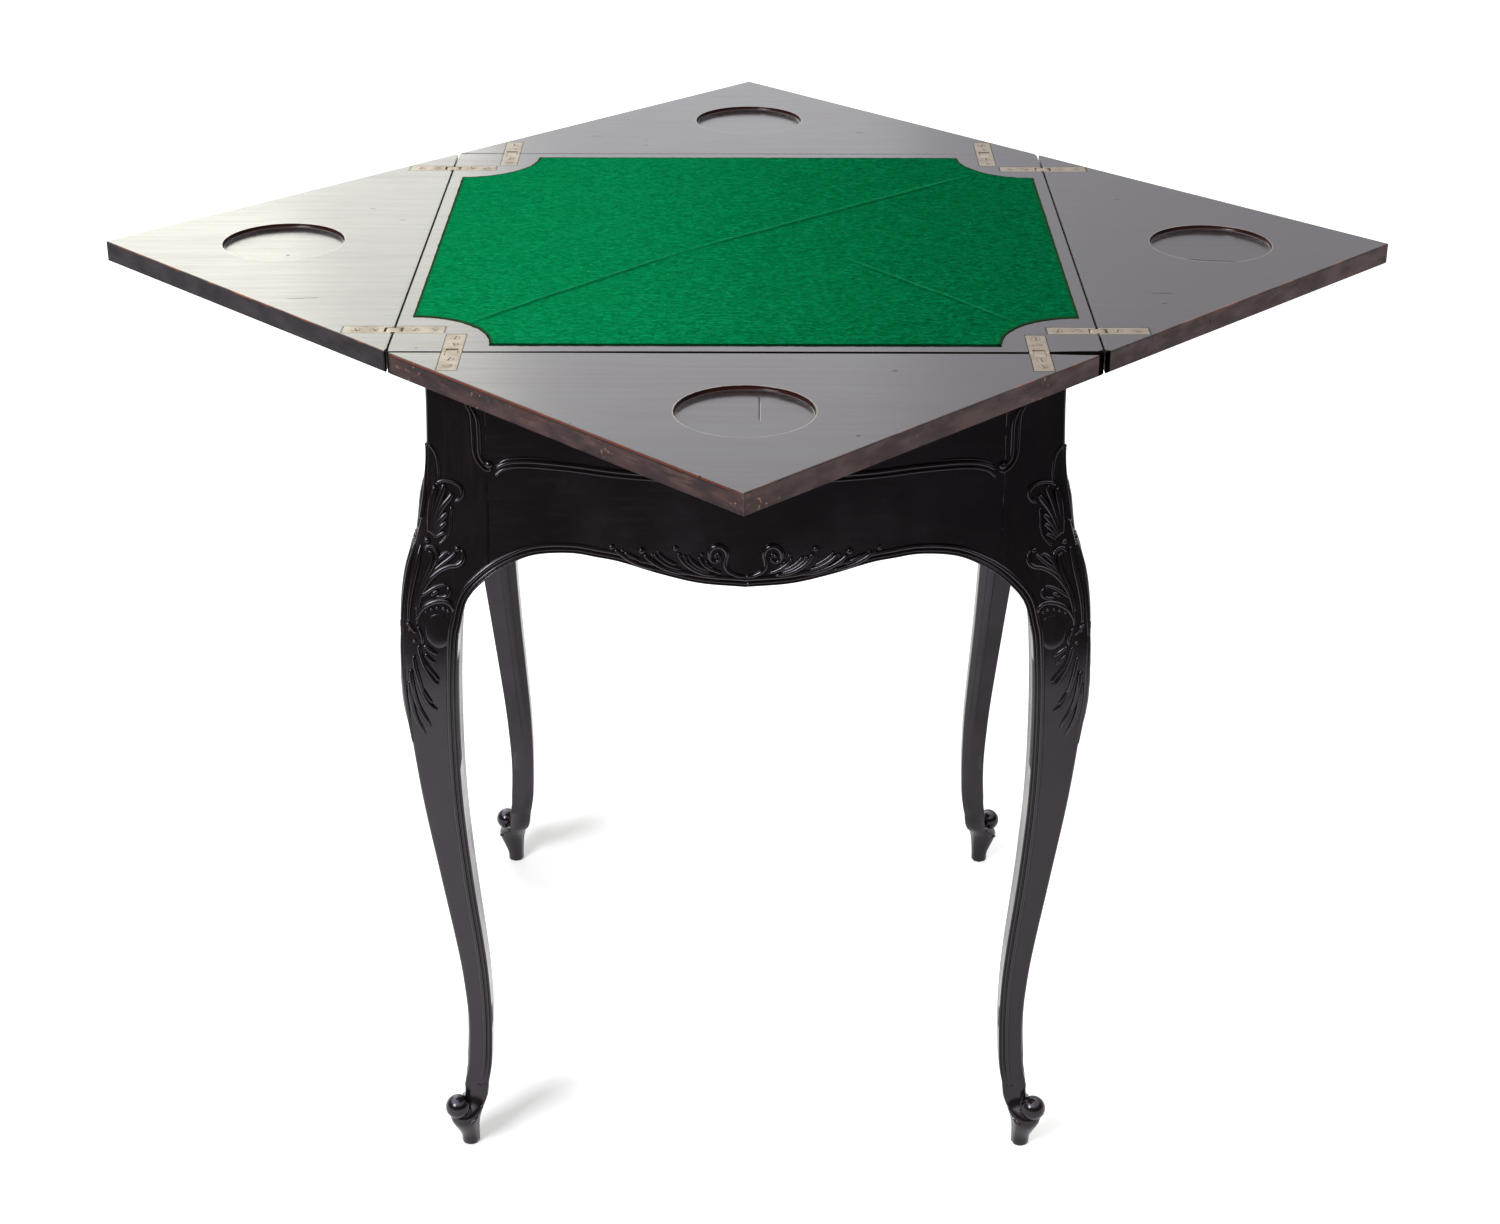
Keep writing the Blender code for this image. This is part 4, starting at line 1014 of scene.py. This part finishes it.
# The corner leaf, the shell, the volute, the hooks, the scroll and the leaflets down a knee
KNEE_STRANDS = (
    ((240, 628, 1.2), (238, 636, 1), (238.2, 646, 1), (239.5, 653, 1), (242, 658, 1), (245, 661, 1)),
    ((247, 590, 1.2), (246, 604, 2), (243.5, 618, 2.4), (241, 628, 1.6)),
    ((246.5, 590, 1.2), (243.5, 602, 2), (239.5, 614, 2.4), (235.5, 624, 2.2), (234, 630, 1.4)),
    ((245.5, 589, 1.2), (241.5, 600, 2), (236.5, 610, 2.4), (231, 617, 2.2), (227.5, 622, 1.5)),
    ((244.5, 588, 1.1), (240, 597, 1.9), (235.5, 603, 2.2), (231.5, 607, 1.4)),
    ((243.5, 587, 1), (239.5, 593, 1.7), (235.5, 597, 2), (231.8, 599.5, 1.2)),
    ((243, 586, 1), (239, 589, 1.4), (235.5, 590.5, 1.6), (233, 590.5, 1)),
    ((241, 629.5, 1.3), (236, 631.5, 1.4), (230, 631.5, 1.4), (224.5, 629.5, 1.5), (220.8, 625.5, 1.6),
     (220.5, 620, 1.5), (223, 616.5, 1.3), (227, 615, 1.1)),
    ((228.5, 612, 1.2), (230, 604, 1.3), (230.3, 597, 1.3), (232, 590, 1.2), (236, 584.5, 1.1),
     (239.5, 581.5, 1)),
    ((251, 577, 1.2), (247.5, 580.5, 1.4), (243, 579.5, 1.5), (240.8, 575, 1.6), (241, 569.5, 1.7),
     (243.5, 564, 1.8), (247.5, 557, 1.8), (252, 548, 1.7), (255.5, 539, 1.5), (257.5, 529, 1.2),
     (258.5, 518, 0.8)),
    ((248, 576.5, 1), (245.5, 575.5, 1.2), (244.8, 571, 1.3), (246.5, 565, 1.4), (250, 557.5, 1.5),
     (254, 549, 1.4), (257, 540, 1.2), (259, 530, 0.8)),
    ((253, 582, 1), (255, 575, 1.6), (257, 566, 1.8), (259.5, 556, 1.8), (262, 545, 1.6), (264, 533, 1.3),
     (265, 520, 0.9)),
    ((252.5, 546, 1.4), (248, 553.5, 1.7), (243.5, 558.5, 1.8), (238, 562.5, 1.8), (231.5, 565.2, 1.8),
     (225.5, 566, 1.9), (221.6, 569, 1.9), (220.6, 574, 1.7), (222, 578.5, 1.3)),
    ((249.5, 553.5, 1.2), (244.5, 560.5, 1.5), (239, 565.5, 1.6), (233.5, 569.5, 1.6), (228.5, 573.5, 1.4),
     (226, 576, 1)),
    ((243, 564.5, 1.1), (240.5, 569.5, 1.4), (237, 573, 1.6), (233.5, 575.5, 1.4), (230.5, 576.5, 0.9)),
    ((256, 541, 1.2), (251.5, 543.5, 1.5), (247, 546.5, 1.6), (242.5, 549, 1.5), (238, 550.5, 1.2),
     (234, 551, 0.9)),
    ((233, 550, 1.3), (232.3, 545.5, 1.6), (234, 541.8, 1.6), (238.5, 540.8, 1.4), (243, 542.3, 1.2)),
    ((247, 541.5, 1), (243.5, 544.5, 1.8), (239.5, 545.8, 1.3)),
    ((258.5, 522, 1), (255.5, 529, 1.5), (250.5, 534, 1.8), (244, 537, 1.9), (238, 537.8, 1.9),
     (233, 536.5, 1.8), (229.8, 532.5, 1.7), (229.5, 528.5, 1.2)),
    ((267, 520, 1), (264, 517.5, 1.3), (261.5, 513.5, 1.2), (259, 510, 0.9)),
    ((258, 517, 1), (256, 512, 1.1), (254.5, 506, 1.1), (255, 501, 0.9)),
    ((254.5, 501, 1.3), (250, 497.5, 1.7), (246.5, 494.5, 1.6), (243, 492, 1)),
    ((253.5, 494, 1.1), (250.5, 489.5, 1.5), (247.5, 486.5, 1.3), (245, 485.5, 0.8)),
    ((258, 501, 1.3), (256.8, 492, 1.6), (254, 482, 1.7), (250, 473.5, 1.7), (246.5, 468, 1.7),
     (243.5, 466, 1.5)),
    ((256, 490, 1), (252.8, 484, 1.3), (249, 478, 1.4), (245.5, 473, 1.4), (243.2, 469, 1.3)),
    ((262.5, 492, 1.2), (261.5, 481, 1.7), (259.5, 470, 1.8), (257, 459, 1.7), (254, 451.5, 1.7),
     (250, 445.5, 1.6), (246, 442.3, 1.1)),
    ((257, 463, 1), (254.5, 457, 1.3), (251.5, 451.5, 1.2), (249.5, 448.5, 0.8)),
    ((265.5, 480, 1.2), (265, 468, 1.8), (263.5, 456, 1.9), (261, 446, 1.8), (257.5, 437.5, 1.7),
     (254.5, 431, 1.5), (252.5, 426, 1)),
    ((240, 28.5, 0.9), (236.5, 30, 1.2), (233, 33, 1.2), (230.5, 37.5, 1.1), (229.5, 42, 0.8)),
    ((267, 470, 1.2), (266.5, 455, 1.8), (265.2, 442, 1.8), (262.5, 432, 1.7), (259.5, 425, 1.4),
     (257.2, 419.5, 0.9)),
)
KNEE_BEADS = (
    (248.5, 585, 2.3), (225, 578.5, 2.2), (231, 575, 1.3), (251, 529, 1.1), (246.5, 531, 1.3),
    (242, 532, 1.3), (237, 531.5, 1.5), (233.5, 529.5, 1.4), (264, 514.5, 1.6), (261, 504, 1.6),
)
CABOCHON_MIDDLE = (241.5, 512.5)
CABOCHON_HALF_AXES = (10.5, 14.5)
CABOCHON_RISE = 0.9
# The garland of leaves along the apron's lower edge, with the volute in its middle
GARLAND_STRANDS = (
    ((0, 548.5, 1.3), (5, 549, 1.4), (9, 550.5, 1.5), (13.4, 553.2, 1.6), (16, 557.6, 1.6),
     (15.6, 562.4, 1.5), (14.6, 567, 1.6), (16, 571.8, 1.8), (20.2, 574.9, 1.9), (25, 574, 1.9),
     (28.2, 570, 1.8), (28.2, 565, 1.6), (25.6, 561.6, 1.4), (22, 561.8, 1.3), (20.2, 564.8, 1.2),
     (21, 568, 1.1), (23.6, 568.6, 0.9)),
    ((103, 572, 1), (98, 568, 1.6), (92, 563.5, 1.7), (85, 559.5, 1.6), (77, 556.5, 1.3), (69, 554.5, 0.9)),
    ((96, 569.5, 1), (90, 566.5, 1.4), (84, 563, 1.5), (78, 560, 1.1)),
    ((80, 568, 1.2), (76, 563.5, 1.7), (70, 559, 1.8), (62, 555, 1.7), (53, 552, 1.4), (44, 550.5, 0.9)),
    ((72.5, 568.5, 1.1), (68.5, 564, 1.5), (63.5, 560, 1.6), (57.5, 557, 1.4), (50, 554.5, 0.9)),
    ((70, 571, 0.9), (66, 566, 1.3), (60, 561.5, 1.5), (54, 558.5, 1.1)),
    ((53.5, 569.5, 1.1), (50.5, 563.5, 1.6), (46, 558.5, 1.8), (39.5, 554, 1.8), (31.5, 550.8, 1.6),
     (23, 549.5, 1.1)),
    ((49.5, 567.5, 1), (46, 562, 1.5), (41, 557.5, 1.6), (35, 554, 1.5), (28, 551.5, 1)),
    ((45.5, 567, 1), (42, 562, 1.5), (37.5, 558, 1.6), (32, 555, 1.3), (27, 553.5, 0.8)),
    ((37, 566, 1), (34, 560.5, 1.5), (29.5, 556.5, 1.6), (24, 553.5, 1.4), (18, 551.5, 1)),
    ((31.5, 563, 1), (29.5, 558.8, 1.2), (25.5, 555.8, 1.2)),
)
GARLAND_BEADS = (
    (105.5, 574, 2.1), (97, 571, 1.4), (81.8, 571, 2.6), (73.5, 567.5, 1.5), (55.2, 573, 2.2),
    (51.6, 566.8, 1.6), (47.2, 565, 1.5), (34.5, 567.5, 1.6), (23.4, 566.6, 1.6),
)
# The moulding round the frieze
FRIEZE_STRANDS = (
    ((216, 696, 0.8), (213.5, 691.5, 1.1), (211.2, 686, 1.2), (210.6, 675, 1.2), (210.5, 662, 1.2),
     (210, 654.5, 1.2), (207.6, 647.5, 1.2), (203.6, 642, 1.2), (199.5, 639.8, 1.2), (196.3, 641, 1)),
    ((211.8, 692.5, 1), (208.6, 687.5, 1.5), (206.3, 681, 1.7), (205.8, 670, 1.7), (205.8, 660, 1.7),
     (205.6, 653.5, 1.7), (204, 648.5, 1.6), (201.5, 645.5, 1.4)),
    ((193.8, 635.3, 1.9), (192, 637.5, 1.3), (188.5, 640.2, 1.2), (183, 641.8, 1.2), (176, 642.6, 1.2),
     (165, 642.2, 1.2), (150, 640.6, 1.2), (130, 638, 1.2), (110, 635, 1.2), (90, 632.7, 1.2),
     (60, 630.3, 1.2), (30, 628.6, 1.2), (0, 628, 1.2)),
    ((193.5, 641.5, 1.6), (189.5, 644, 1.8), (184, 645.9, 1.8), (177, 646.8, 1.8), (165, 646.6, 1.8),
     (150, 645, 1.8), (130, 642.4, 1.8), (110, 639.4, 1.8), (90, 637, 1.8), (60, 634.6, 1.8),
     (30, 632.9, 1.8), (0, 632.3, 1.8)),
    ((191, 645.2, 0.9), (186, 648, 1), (179, 649.6, 1), (165, 649.6, 0.9), (150, 648, 0.6)),
)
FRIEZE_BEADS = ((198.8, 644.8, 3.0),)
# The rings round the eye on each side of the scroll at the toe
SCROLL_EYE = ((240.2, 38.6, 3.3), (240.0, 38.4, 1.8))
EYE_HEIGHT_share = 0.42
ACROSS_DIAGONAL = Matrix(((0, -1, 0, 0), (-1, 0, 0, 0), (0, 0, 1, 0), (0, 0, 0, 1)))
ACROSS_MIDDLE = Matrix.Scale(-1, 4, Vector((1, 0, 0)))


def doubled(half, mirror):
    """A form together with its mirror image."""
    whole = bmesh.new()
    absorb(whole, half)
    absorb(whole, half, mirror)
    return whole


def cabochon(bm, carver):
    """The oval boss on the knee."""
    u, z = CABOCHON_MIDDLE
    matrix = standing(*carver.on_side(u * MM, z * MM))
    across = matrix.inverted().to_3x3() @ Vector((1, 0, 0))
    spin = Matrix.Rotation(math.atan2(across.y, across.x), 4, "Z")
    half_u, half_z = CABOCHON_HALF_AXES
    squash = Matrix.Diagonal((half_u * MM, half_z * MM, CABOCHON_RISE * MM, 1))
    bmesh.ops.create_uvsphere(bm, u_segments=28, v_segments=14, radius=1, matrix=matrix @ spin @ squash)


def knee_carving(carver):
    """Everything carved on one leg, in the front right corner."""
    half = bmesh.new()
    for rows in KNEE_STRANDS:
        carver.strand(half, rows, carver.on_side, LEAF_WIDTH_share)
    for u, z, radius in KNEE_BEADS:
        carver.bead(half, u, z, radius * LEAF_BEAD_share, carver.on_side)
    cabochon(half, carver)
    for u, z, radius in SCROLL_EYE:
        carver.bead(half, u, z, radius, carver.on_side, EYE_HEIGHT_share)
    whole = doubled(half, ACROSS_DIAGONAL)
    for rows in ARRIS_STRANDS:
        carver.strand(whole, rows, carver.on_arris)
    return whole


def apron_carving(carver):
    """Everything carved on the front apron."""
    half = bmesh.new()
    for strands, widening in ((GARLAND_STRANDS, LEAF_WIDTH_share), (FRIEZE_STRANDS, FRIEZE_WIDTH_share)):
        for rows in strands:
            carver.strand(half, rows, carver.on_side, widening)
    for u, z, radius in (*GARLAND_BEADS, *FRIEZE_BEADS):
        carver.bead(half, u, z, radius * LEAF_BEAD_share, carver.on_side)
    return doubled(half, ACROSS_MIDDLE)


def dress_base():
    """Fine legs and aprons in place of the plain ones, and their carving."""
    leg, apron = leg_form(), apron_form()
    carver = Carver((leg, apron))
    knee, garland = knee_carving(carver), apron_carving(carver)
    on_leg, on_apron = border()
    absorb(leg, doubled(on_leg, ACROSS_DIAGONAL))
    absorb(apron, doubled(on_apron, ACROSS_MIDDLE))
    for times, (corner, side) in enumerate(zip(LEGS, SIDES)):
        along = BLACK_ALONG_Y if times % 2 else BLACK_ALONG_X
        rows = (
            ("carved_leg_" + corner, leg, BLACK_UPRIGHT, "leg_" + corner),
            ("moulded_apron_" + side, apron, along, "apron_" + side),
            ("knee_carving_" + corner, knee, BLACK_UPRIGHT, None),
            ("apron_carving_" + side, garland, along, None),
        )
        for name, form, material, node in rows:
            made = finished(name, turned(form, times), [material], "base")
            if node:
                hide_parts(node)


# Screws

SCREW_DOME = ((0.0, 0.30), (0.35, 0.29), (0.65, 0.24), (0.88, 0.14), (1.0, 0.02), (1.0, -0.25))
SCREW_SIDES = 24
SLOT_HALF = 0.00042
SLOT_FLOOR = 0.00004
SLOT_BOX = (SCREW_RADIUS * 1.92, SLOT_HALF * 2.2, 0.00025)
SLOT_TURNS = (20, 75, 130, 5, 160, 95, 40, 110)


def screw_form():
    """A slotted countersunk screw's head standing just proud of z = 0, its slot along x."""
    angles = [2 * math.pi * i / SCREW_SIDES for i in range(SCREW_SIDES)]
    rings = []
    for share, height in SCREW_DOME:
        radius = max(SCREW_RADIUS * share, WELD)
        rings.append([(radius * math.cos(a), radius * math.sin(a), height * MM) for a in angles])
    head = bmesh.new()
    for sign in (1, -1):
        half = skin(rings)
        geometry = [*half.verts, *half.edges, *half.faces]
        bmesh.ops.bisect_plane(
            half, geom=geometry, plane_co=(0, sign * SLOT_HALF, 0), plane_no=(0, sign, 0), clear_inner=True
        )
        bmesh.ops.holes_fill(half, edges=[e for e in half.edges if e.is_boundary])
        absorb(head, half)
    count = len(head.faces)
    lowered = Matrix.Translation((0, 0, SLOT_FLOOR - SLOT_BOX[2] / 2))
    bmesh.ops.create_cube(head, size=1, matrix=lowered @ Matrix.Diagonal((*SLOT_BOX, 1)))
    head.faces.ensure_lookup_table()
    for face in head.faces[count:]:
        face.material_index = 1
    return head


def add_screws():
    """Four screws in each leaf's two plates and four in the panel's plates beside them."""
    screw = screw_form()
    places = [(x, away) for x in (-PLATE_OFFSET, PLATE_OFFSET) for away in SCREWS_FROM_SEAM]
    for times, side in enumerate(SIDES):
        for sign, body, name in ((1, "leaf_" + side, "leaf_screws_"), (-1, "top", "panel_screws_")):
            group = bmesh.new()
            for i, (x, away) in enumerate(places):
                turn = SLOT_TURNS[(2 * i + 3 * times + sign) % len(SLOT_TURNS)]
                spin = Matrix.Rotation(math.radians(turn), 4, "Z")
                absorb(group, screw, Matrix.Translation((x, -(SEAM + sign * away), PLATE_HIGH.z)) @ spin)
            screws = turned(group, times)
            finished(name + side, screws, [BRASS, SLOT_PAINTED_SHADE], body, SMOOTH_BELOW)


# Baize

BAIZE_RAG = 0.0009
BAIZE_RAG_SCALE = 210
BAIZE_SEED = 7
BAIZE_LOW = -0.00075
BAIZE_LEVEL = 0.00060
BAIZE_SETTING = 0.012
BAIZE_EDGE_STEP = 0.0022
BAIZE_WAVE = 0.00012
BAIZE_WAVE_SCALE = 22
BAIZE_SMOOTH_BELOW = math.radians(60)
# The corners, as the signs of x and y, and the angle where each quarter circle starts
BAIZE_CORNERS = ((1, 1, 270), (-1, 1, 360), (-1, -1, 90), (1, -1, 180))
CREASE_HEIGHT = 0.0007
CREASE_HALF = 0.0016
CREASE_WANDER = 0.003
CREASE_WANDER_SCALE = 26
CREASE_FADES = (0.03, 0.06)
CREASE_POINT_STEP = 0.004
CREASE_ROW_STEP = 0.0015
CREASE_ROWS = 3
SAME_POINT = 1e-6


def baize_edge():
    """The sheet's outline, cut away in quarter circles at the corners and a little ragged."""
    points = []
    count = round(QUARTER * BAIZE_CORNER / BAIZE_EDGE_STEP)
    for sx, sy, start in BAIZE_CORNERS:
        middle = Vector((sx * BAIZE_HALF[0], sy * BAIZE_HALF[1]))
        for i in range(count + 1):
            angle = math.radians(start - 90 * i / count)
            points.append(middle + BAIZE_CORNER * Vector((math.cos(angle), math.sin(angle))))
    outline = []
    for a, b in zip(points, [*points[1:], points[0]]):
        count = max(1, round((b - a).length / BAIZE_EDGE_STEP))
        outline += [a.lerp(b, i / count) for i in range(count)]
    noise.seed_set(BAIZE_SEED)
    return [p + noise.noise_vector(p.to_3d() * BAIZE_RAG_SCALE).xy * BAIZE_RAG for p in outline]


def crease_rise(point):
    """The height of the folds that the closed leaves have pressed into the sheet."""
    rise = 0.0
    for start, end, share in CREASES:
        start, end = Vector(start), Vector(end)
        along = (end - start).normalized()
        run = (point - start).dot(along)
        wander = CREASE_WANDER * noise.noise(Vector((run * CREASE_WANDER_SCALE, share, 0)))
        away = (point - start).cross(along) + wander
        left = (end - start).length - run
        fade = max(0.0, min(1.0, run / CREASE_FADES[0], left / CREASE_FADES[1]))
        rise += share * fade * math.exp(-((away / CREASE_HALF) ** 2))
    return rise * CREASE_HEIGHT


def baize_points():
    """Points inside the sheet: an even setting, and rows along the creases."""
    reach = int(BAIZE_HALF[0] / BAIZE_SETTING) + 1
    steps = range(-reach, reach + 1)
    points = [Vector((i + 0.5 * (j % 2), j)) * BAIZE_SETTING for i in steps for j in steps]
    for start, end, _ in CREASES:
        start, end = Vector(start), Vector(end)
        across = (end - start).normalized().orthogonal()
        count = round((end - start).length / CREASE_POINT_STEP)
        for row in range(-CREASE_ROWS, CREASE_ROWS + 1):
            away = across * (row * CREASE_ROW_STEP)
            points += [start.lerp(end, i / count) + away for i in range(count + 1)]
    return points


def baize_sheet():
    """The green baize as one thin sheet laid in the panel's recess."""
    edge = baize_edge()
    outline = list(range(len(edge)))
    ring = [(i, (i + 1) % len(edge)) for i in outline]
    flat, _, faces, _, _, _ = delaunay_2d_cdt(edge + baize_points(), ring, [outline], 1, SAME_POINT)
    bm = bmesh.new()
    tops = []
    for point in flat:
        wave = BAIZE_WAVE * noise.noise(point.to_3d() * BAIZE_WAVE_SCALE)
        tops.append(bm.verts.new((point.x, point.y, TABLE_TOP + (BAIZE_LEVEL + crease_rise(point) + wave))))
    for face in faces:
        bm.faces.new([tops[i] for i in face])
    bmesh.ops.delete(bm, geom=[v for v in bm.verts if not v.link_faces], context="VERTS")
    area = sum(face.calc_area() for face in bm.faces)
    made = bmesh.ops.extrude_edge_only(bm, edges=[e for e in bm.edges if e.is_boundary])
    for vert in [v for v in made["geom"] if isinstance(v, bmesh.types.BMVert)]:
        vert.co.z = TABLE_TOP + BAIZE_LOW
    bmesh.ops.holes_fill(bm, edges=[e for e in bm.edges if e.is_boundary])
    sheet = finished("baize_sheet", bm, [BAIZE], "top", BAIZE_SMOOTH_BELOW)
    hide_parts("baize")


dress_base()
for side in SIDES:
    refined("leaf_" + side, "leaf_" + side)
refined("centre_panel", "top")
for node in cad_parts:
    if node.startswith("hinge_"):
        painted(node, BRASS)
    elif node in ("pivot_bolt", "pivot_washer", "pivot_nut"):
        painted(node, STEEL)
    elif node in ("cross_bearer", "stop_peg"):
        painted(node, BARE_WOOD)
painted("baize", BAIZE)
add_screws()
baize_sheet()


# Camera, light and ground

PHOTO_SIZE = (1500, 1224)
FOCAL_PIXELS = 2654.33
SENSOR_WIDTH = 36.0
EYE = Vector((0.00849, -2.14941, 1.42791))
YAW = -0.00261
PITCH = 0.446
ROLL = 0.0011


def make_camera():
    """The photograph's own viewpoint, worked out from the table's known corners."""
    data = bpy.data.cameras.new("camera")
    data.sensor_width = SENSOR_WIDTH
    data.lens = FOCAL_PIXELS / PHOTO_SIZE[0] * SENSOR_WIDTH
    ahead = Vector((math.sin(YAW) * math.cos(PITCH), math.cos(YAW) * math.cos(PITCH), -math.sin(PITCH)))
    across = Vector((math.cos(YAW), -math.sin(YAW), 0))
    upward = across.cross(ahead)
    right = across * math.cos(ROLL) + upward * math.sin(ROLL)
    up = upward * math.cos(ROLL) - across * math.sin(ROLL)
    made = new_object("camera", data)
    made.matrix_world = Matrix.Translation(EYE) @ Matrix((right, up, -ahead)).transposed().to_4x4()
    bpy.context.scene.camera = made


WHITE = (1, 1, 1)
WARM = (0.99, 1.0, 0.85)
# Lamps: name, place, aim, width and height, power and colour
LAMPS = (
    ("window_left", (-1.70, 3.4, 1.95), (-1.4, 0.0, 0.9), (1.4, 1.5), 19.7, WARM),
    ("window_right", (-0.78, 3.4, 1.95), (-0.6, 0.0, 0.9), (0.44, 1.5), 4.0, WARM),
    ("window_edge", (-0.1, 3.4, 1.80), (-0.1, 0.0, 0.9), (0.9, 1.2), 1.5, WHITE),
    ("front_left", (-1.9, -2.3, 2.3), (0, 0, 0.45), (1.15, 1.15), 100, (0.96, 0.97, 1.0)),
)


def softbox(name, place, aim, size, power, colour):
    """A rectangular lamp that looks from one point at another."""
    data = bpy.data.lights.new(name, "AREA")
    data.shape = "RECTANGLE"
    data.size, data.size_y = size
    data.energy = power
    data.color = colour
    made = new_object(name, data)
    made.location = place
    made.rotation_euler = (Vector(aim) - Vector(place)).to_track_quat("-Z", "Y").to_euler()


# The room as reflections find it: where a change begins and ends in one direction, and the light there
COOL = (0.97, 0.965, 1.03, 1)
BEHIND = (-0.1, 0.75, 0.14, 1.0)
RIGHTWARD = (-0.02, 0.2, 1.0, 0.72)
OVERHEAD = (0.46, 0.75, 0.0, 3.9)
LEFTWARD = (-0.6, 0.6, 1.0, 0.45)
ROOM_LIGHT = 0.45


def make_world():
    """A white room to the camera; reflections find it bright behind the table and dim in front."""
    world = bpy.data.worlds.new("room")
    bpy.context.scene.world = world
    world.use_nodes = True
    r = Nodes(world.node_tree)
    x, y, z = r.parts(r.add("TexCoord").outputs["Generated"])
    glossy, camera = r.ray("Glossy"), r.ray("Camera")
    walls = r.times(r.between(y, *BEHIND), r.between(x, *RIGHTWARD))
    mirrored = r.scaled(r.between(z, *OVERHEAD), r.between(x, *LEFTWARD), walls)
    strength = r.pick(camera, r.pick(glossy, ROOM_LIGHT, mirrored), 1.0)
    r.fill(r.tree.nodes["Background"], Color=r.coats((*WHITE, 1), (glossy, COOL)), Strength=strength)


FLOOR_WIDTH = 24.0
FLOOR_BACK = 12.0
FLOOR_FRONT = -1.2
FLOOR_DROP = 0.0002
FLOOR_COLOUR = (0.85, 0.85, 0.85, 1)
# The lift beside the left and the right feet, and further out
LIFT_NEAR = (0.34, 0.56)
LIFT_FAR = 0.8
SHADOW_MIDDLE = (0.185, 0.240)
SHADOW_REACH = (0.055, 0.150)
MIRROR_REACH = (-0.2, 0.4)
MIRROR_shares = (0.9, 0.5)


def floor_paint():
    """A pale ground that keeps the shadows beside the feet and is lifted to white further out."""
    r = Recipe("floor", roughness=0.9, Specular_IOR_Level=0.0, Emission_Color=(*WHITE, 1))
    beside = [r.minus(r.size(place), middle) for place, middle in zip((r.x, r.y), SHADOW_MIDDLE)]
    near = r.between(r.x, -SHADOW_MIDDLE[0], SHADOW_MIDDLE[0], *LIFT_NEAR)
    lift = r.pick(r.between(r.length(*beside), *SHADOW_REACH), near, LIFT_FAR)
    # The floor also glows for reflections, more on the left than on the right
    mirrored = r.times(r.ray("Glossy"), r.between(r.x, *MIRROR_REACH, *MIRROR_shares))
    seen = r.most(r.ray("Camera"), mirrored)
    r.surface(Base_Color=FLOOR_COLOUR, Emission_Strength=r.times(seen, lift))
    return r.material


def make_floor():
    """The ground under and behind the table."""
    bm = bmesh.new()
    half = FLOOR_WIDTH / 2
    corners = ((-half, FLOOR_FRONT), (half, FLOOR_FRONT), (half, FLOOR_BACK), (-half, FLOOR_BACK))
    bm.faces.new([bm.verts.new((x, y, -FLOOR_DROP)) for x, y in corners])
    mesh = bpy.data.meshes.new("floor")
    bm.to_mesh(mesh)
    bm.free()
    mesh.materials.append(floor_paint())
    new_object("floor", mesh)


make_camera()
make_world()
make_floor()
for lamp in LAMPS:
    softbox(*lamp)
bpy.context.scene.view_settings.view_transform = "Standard"
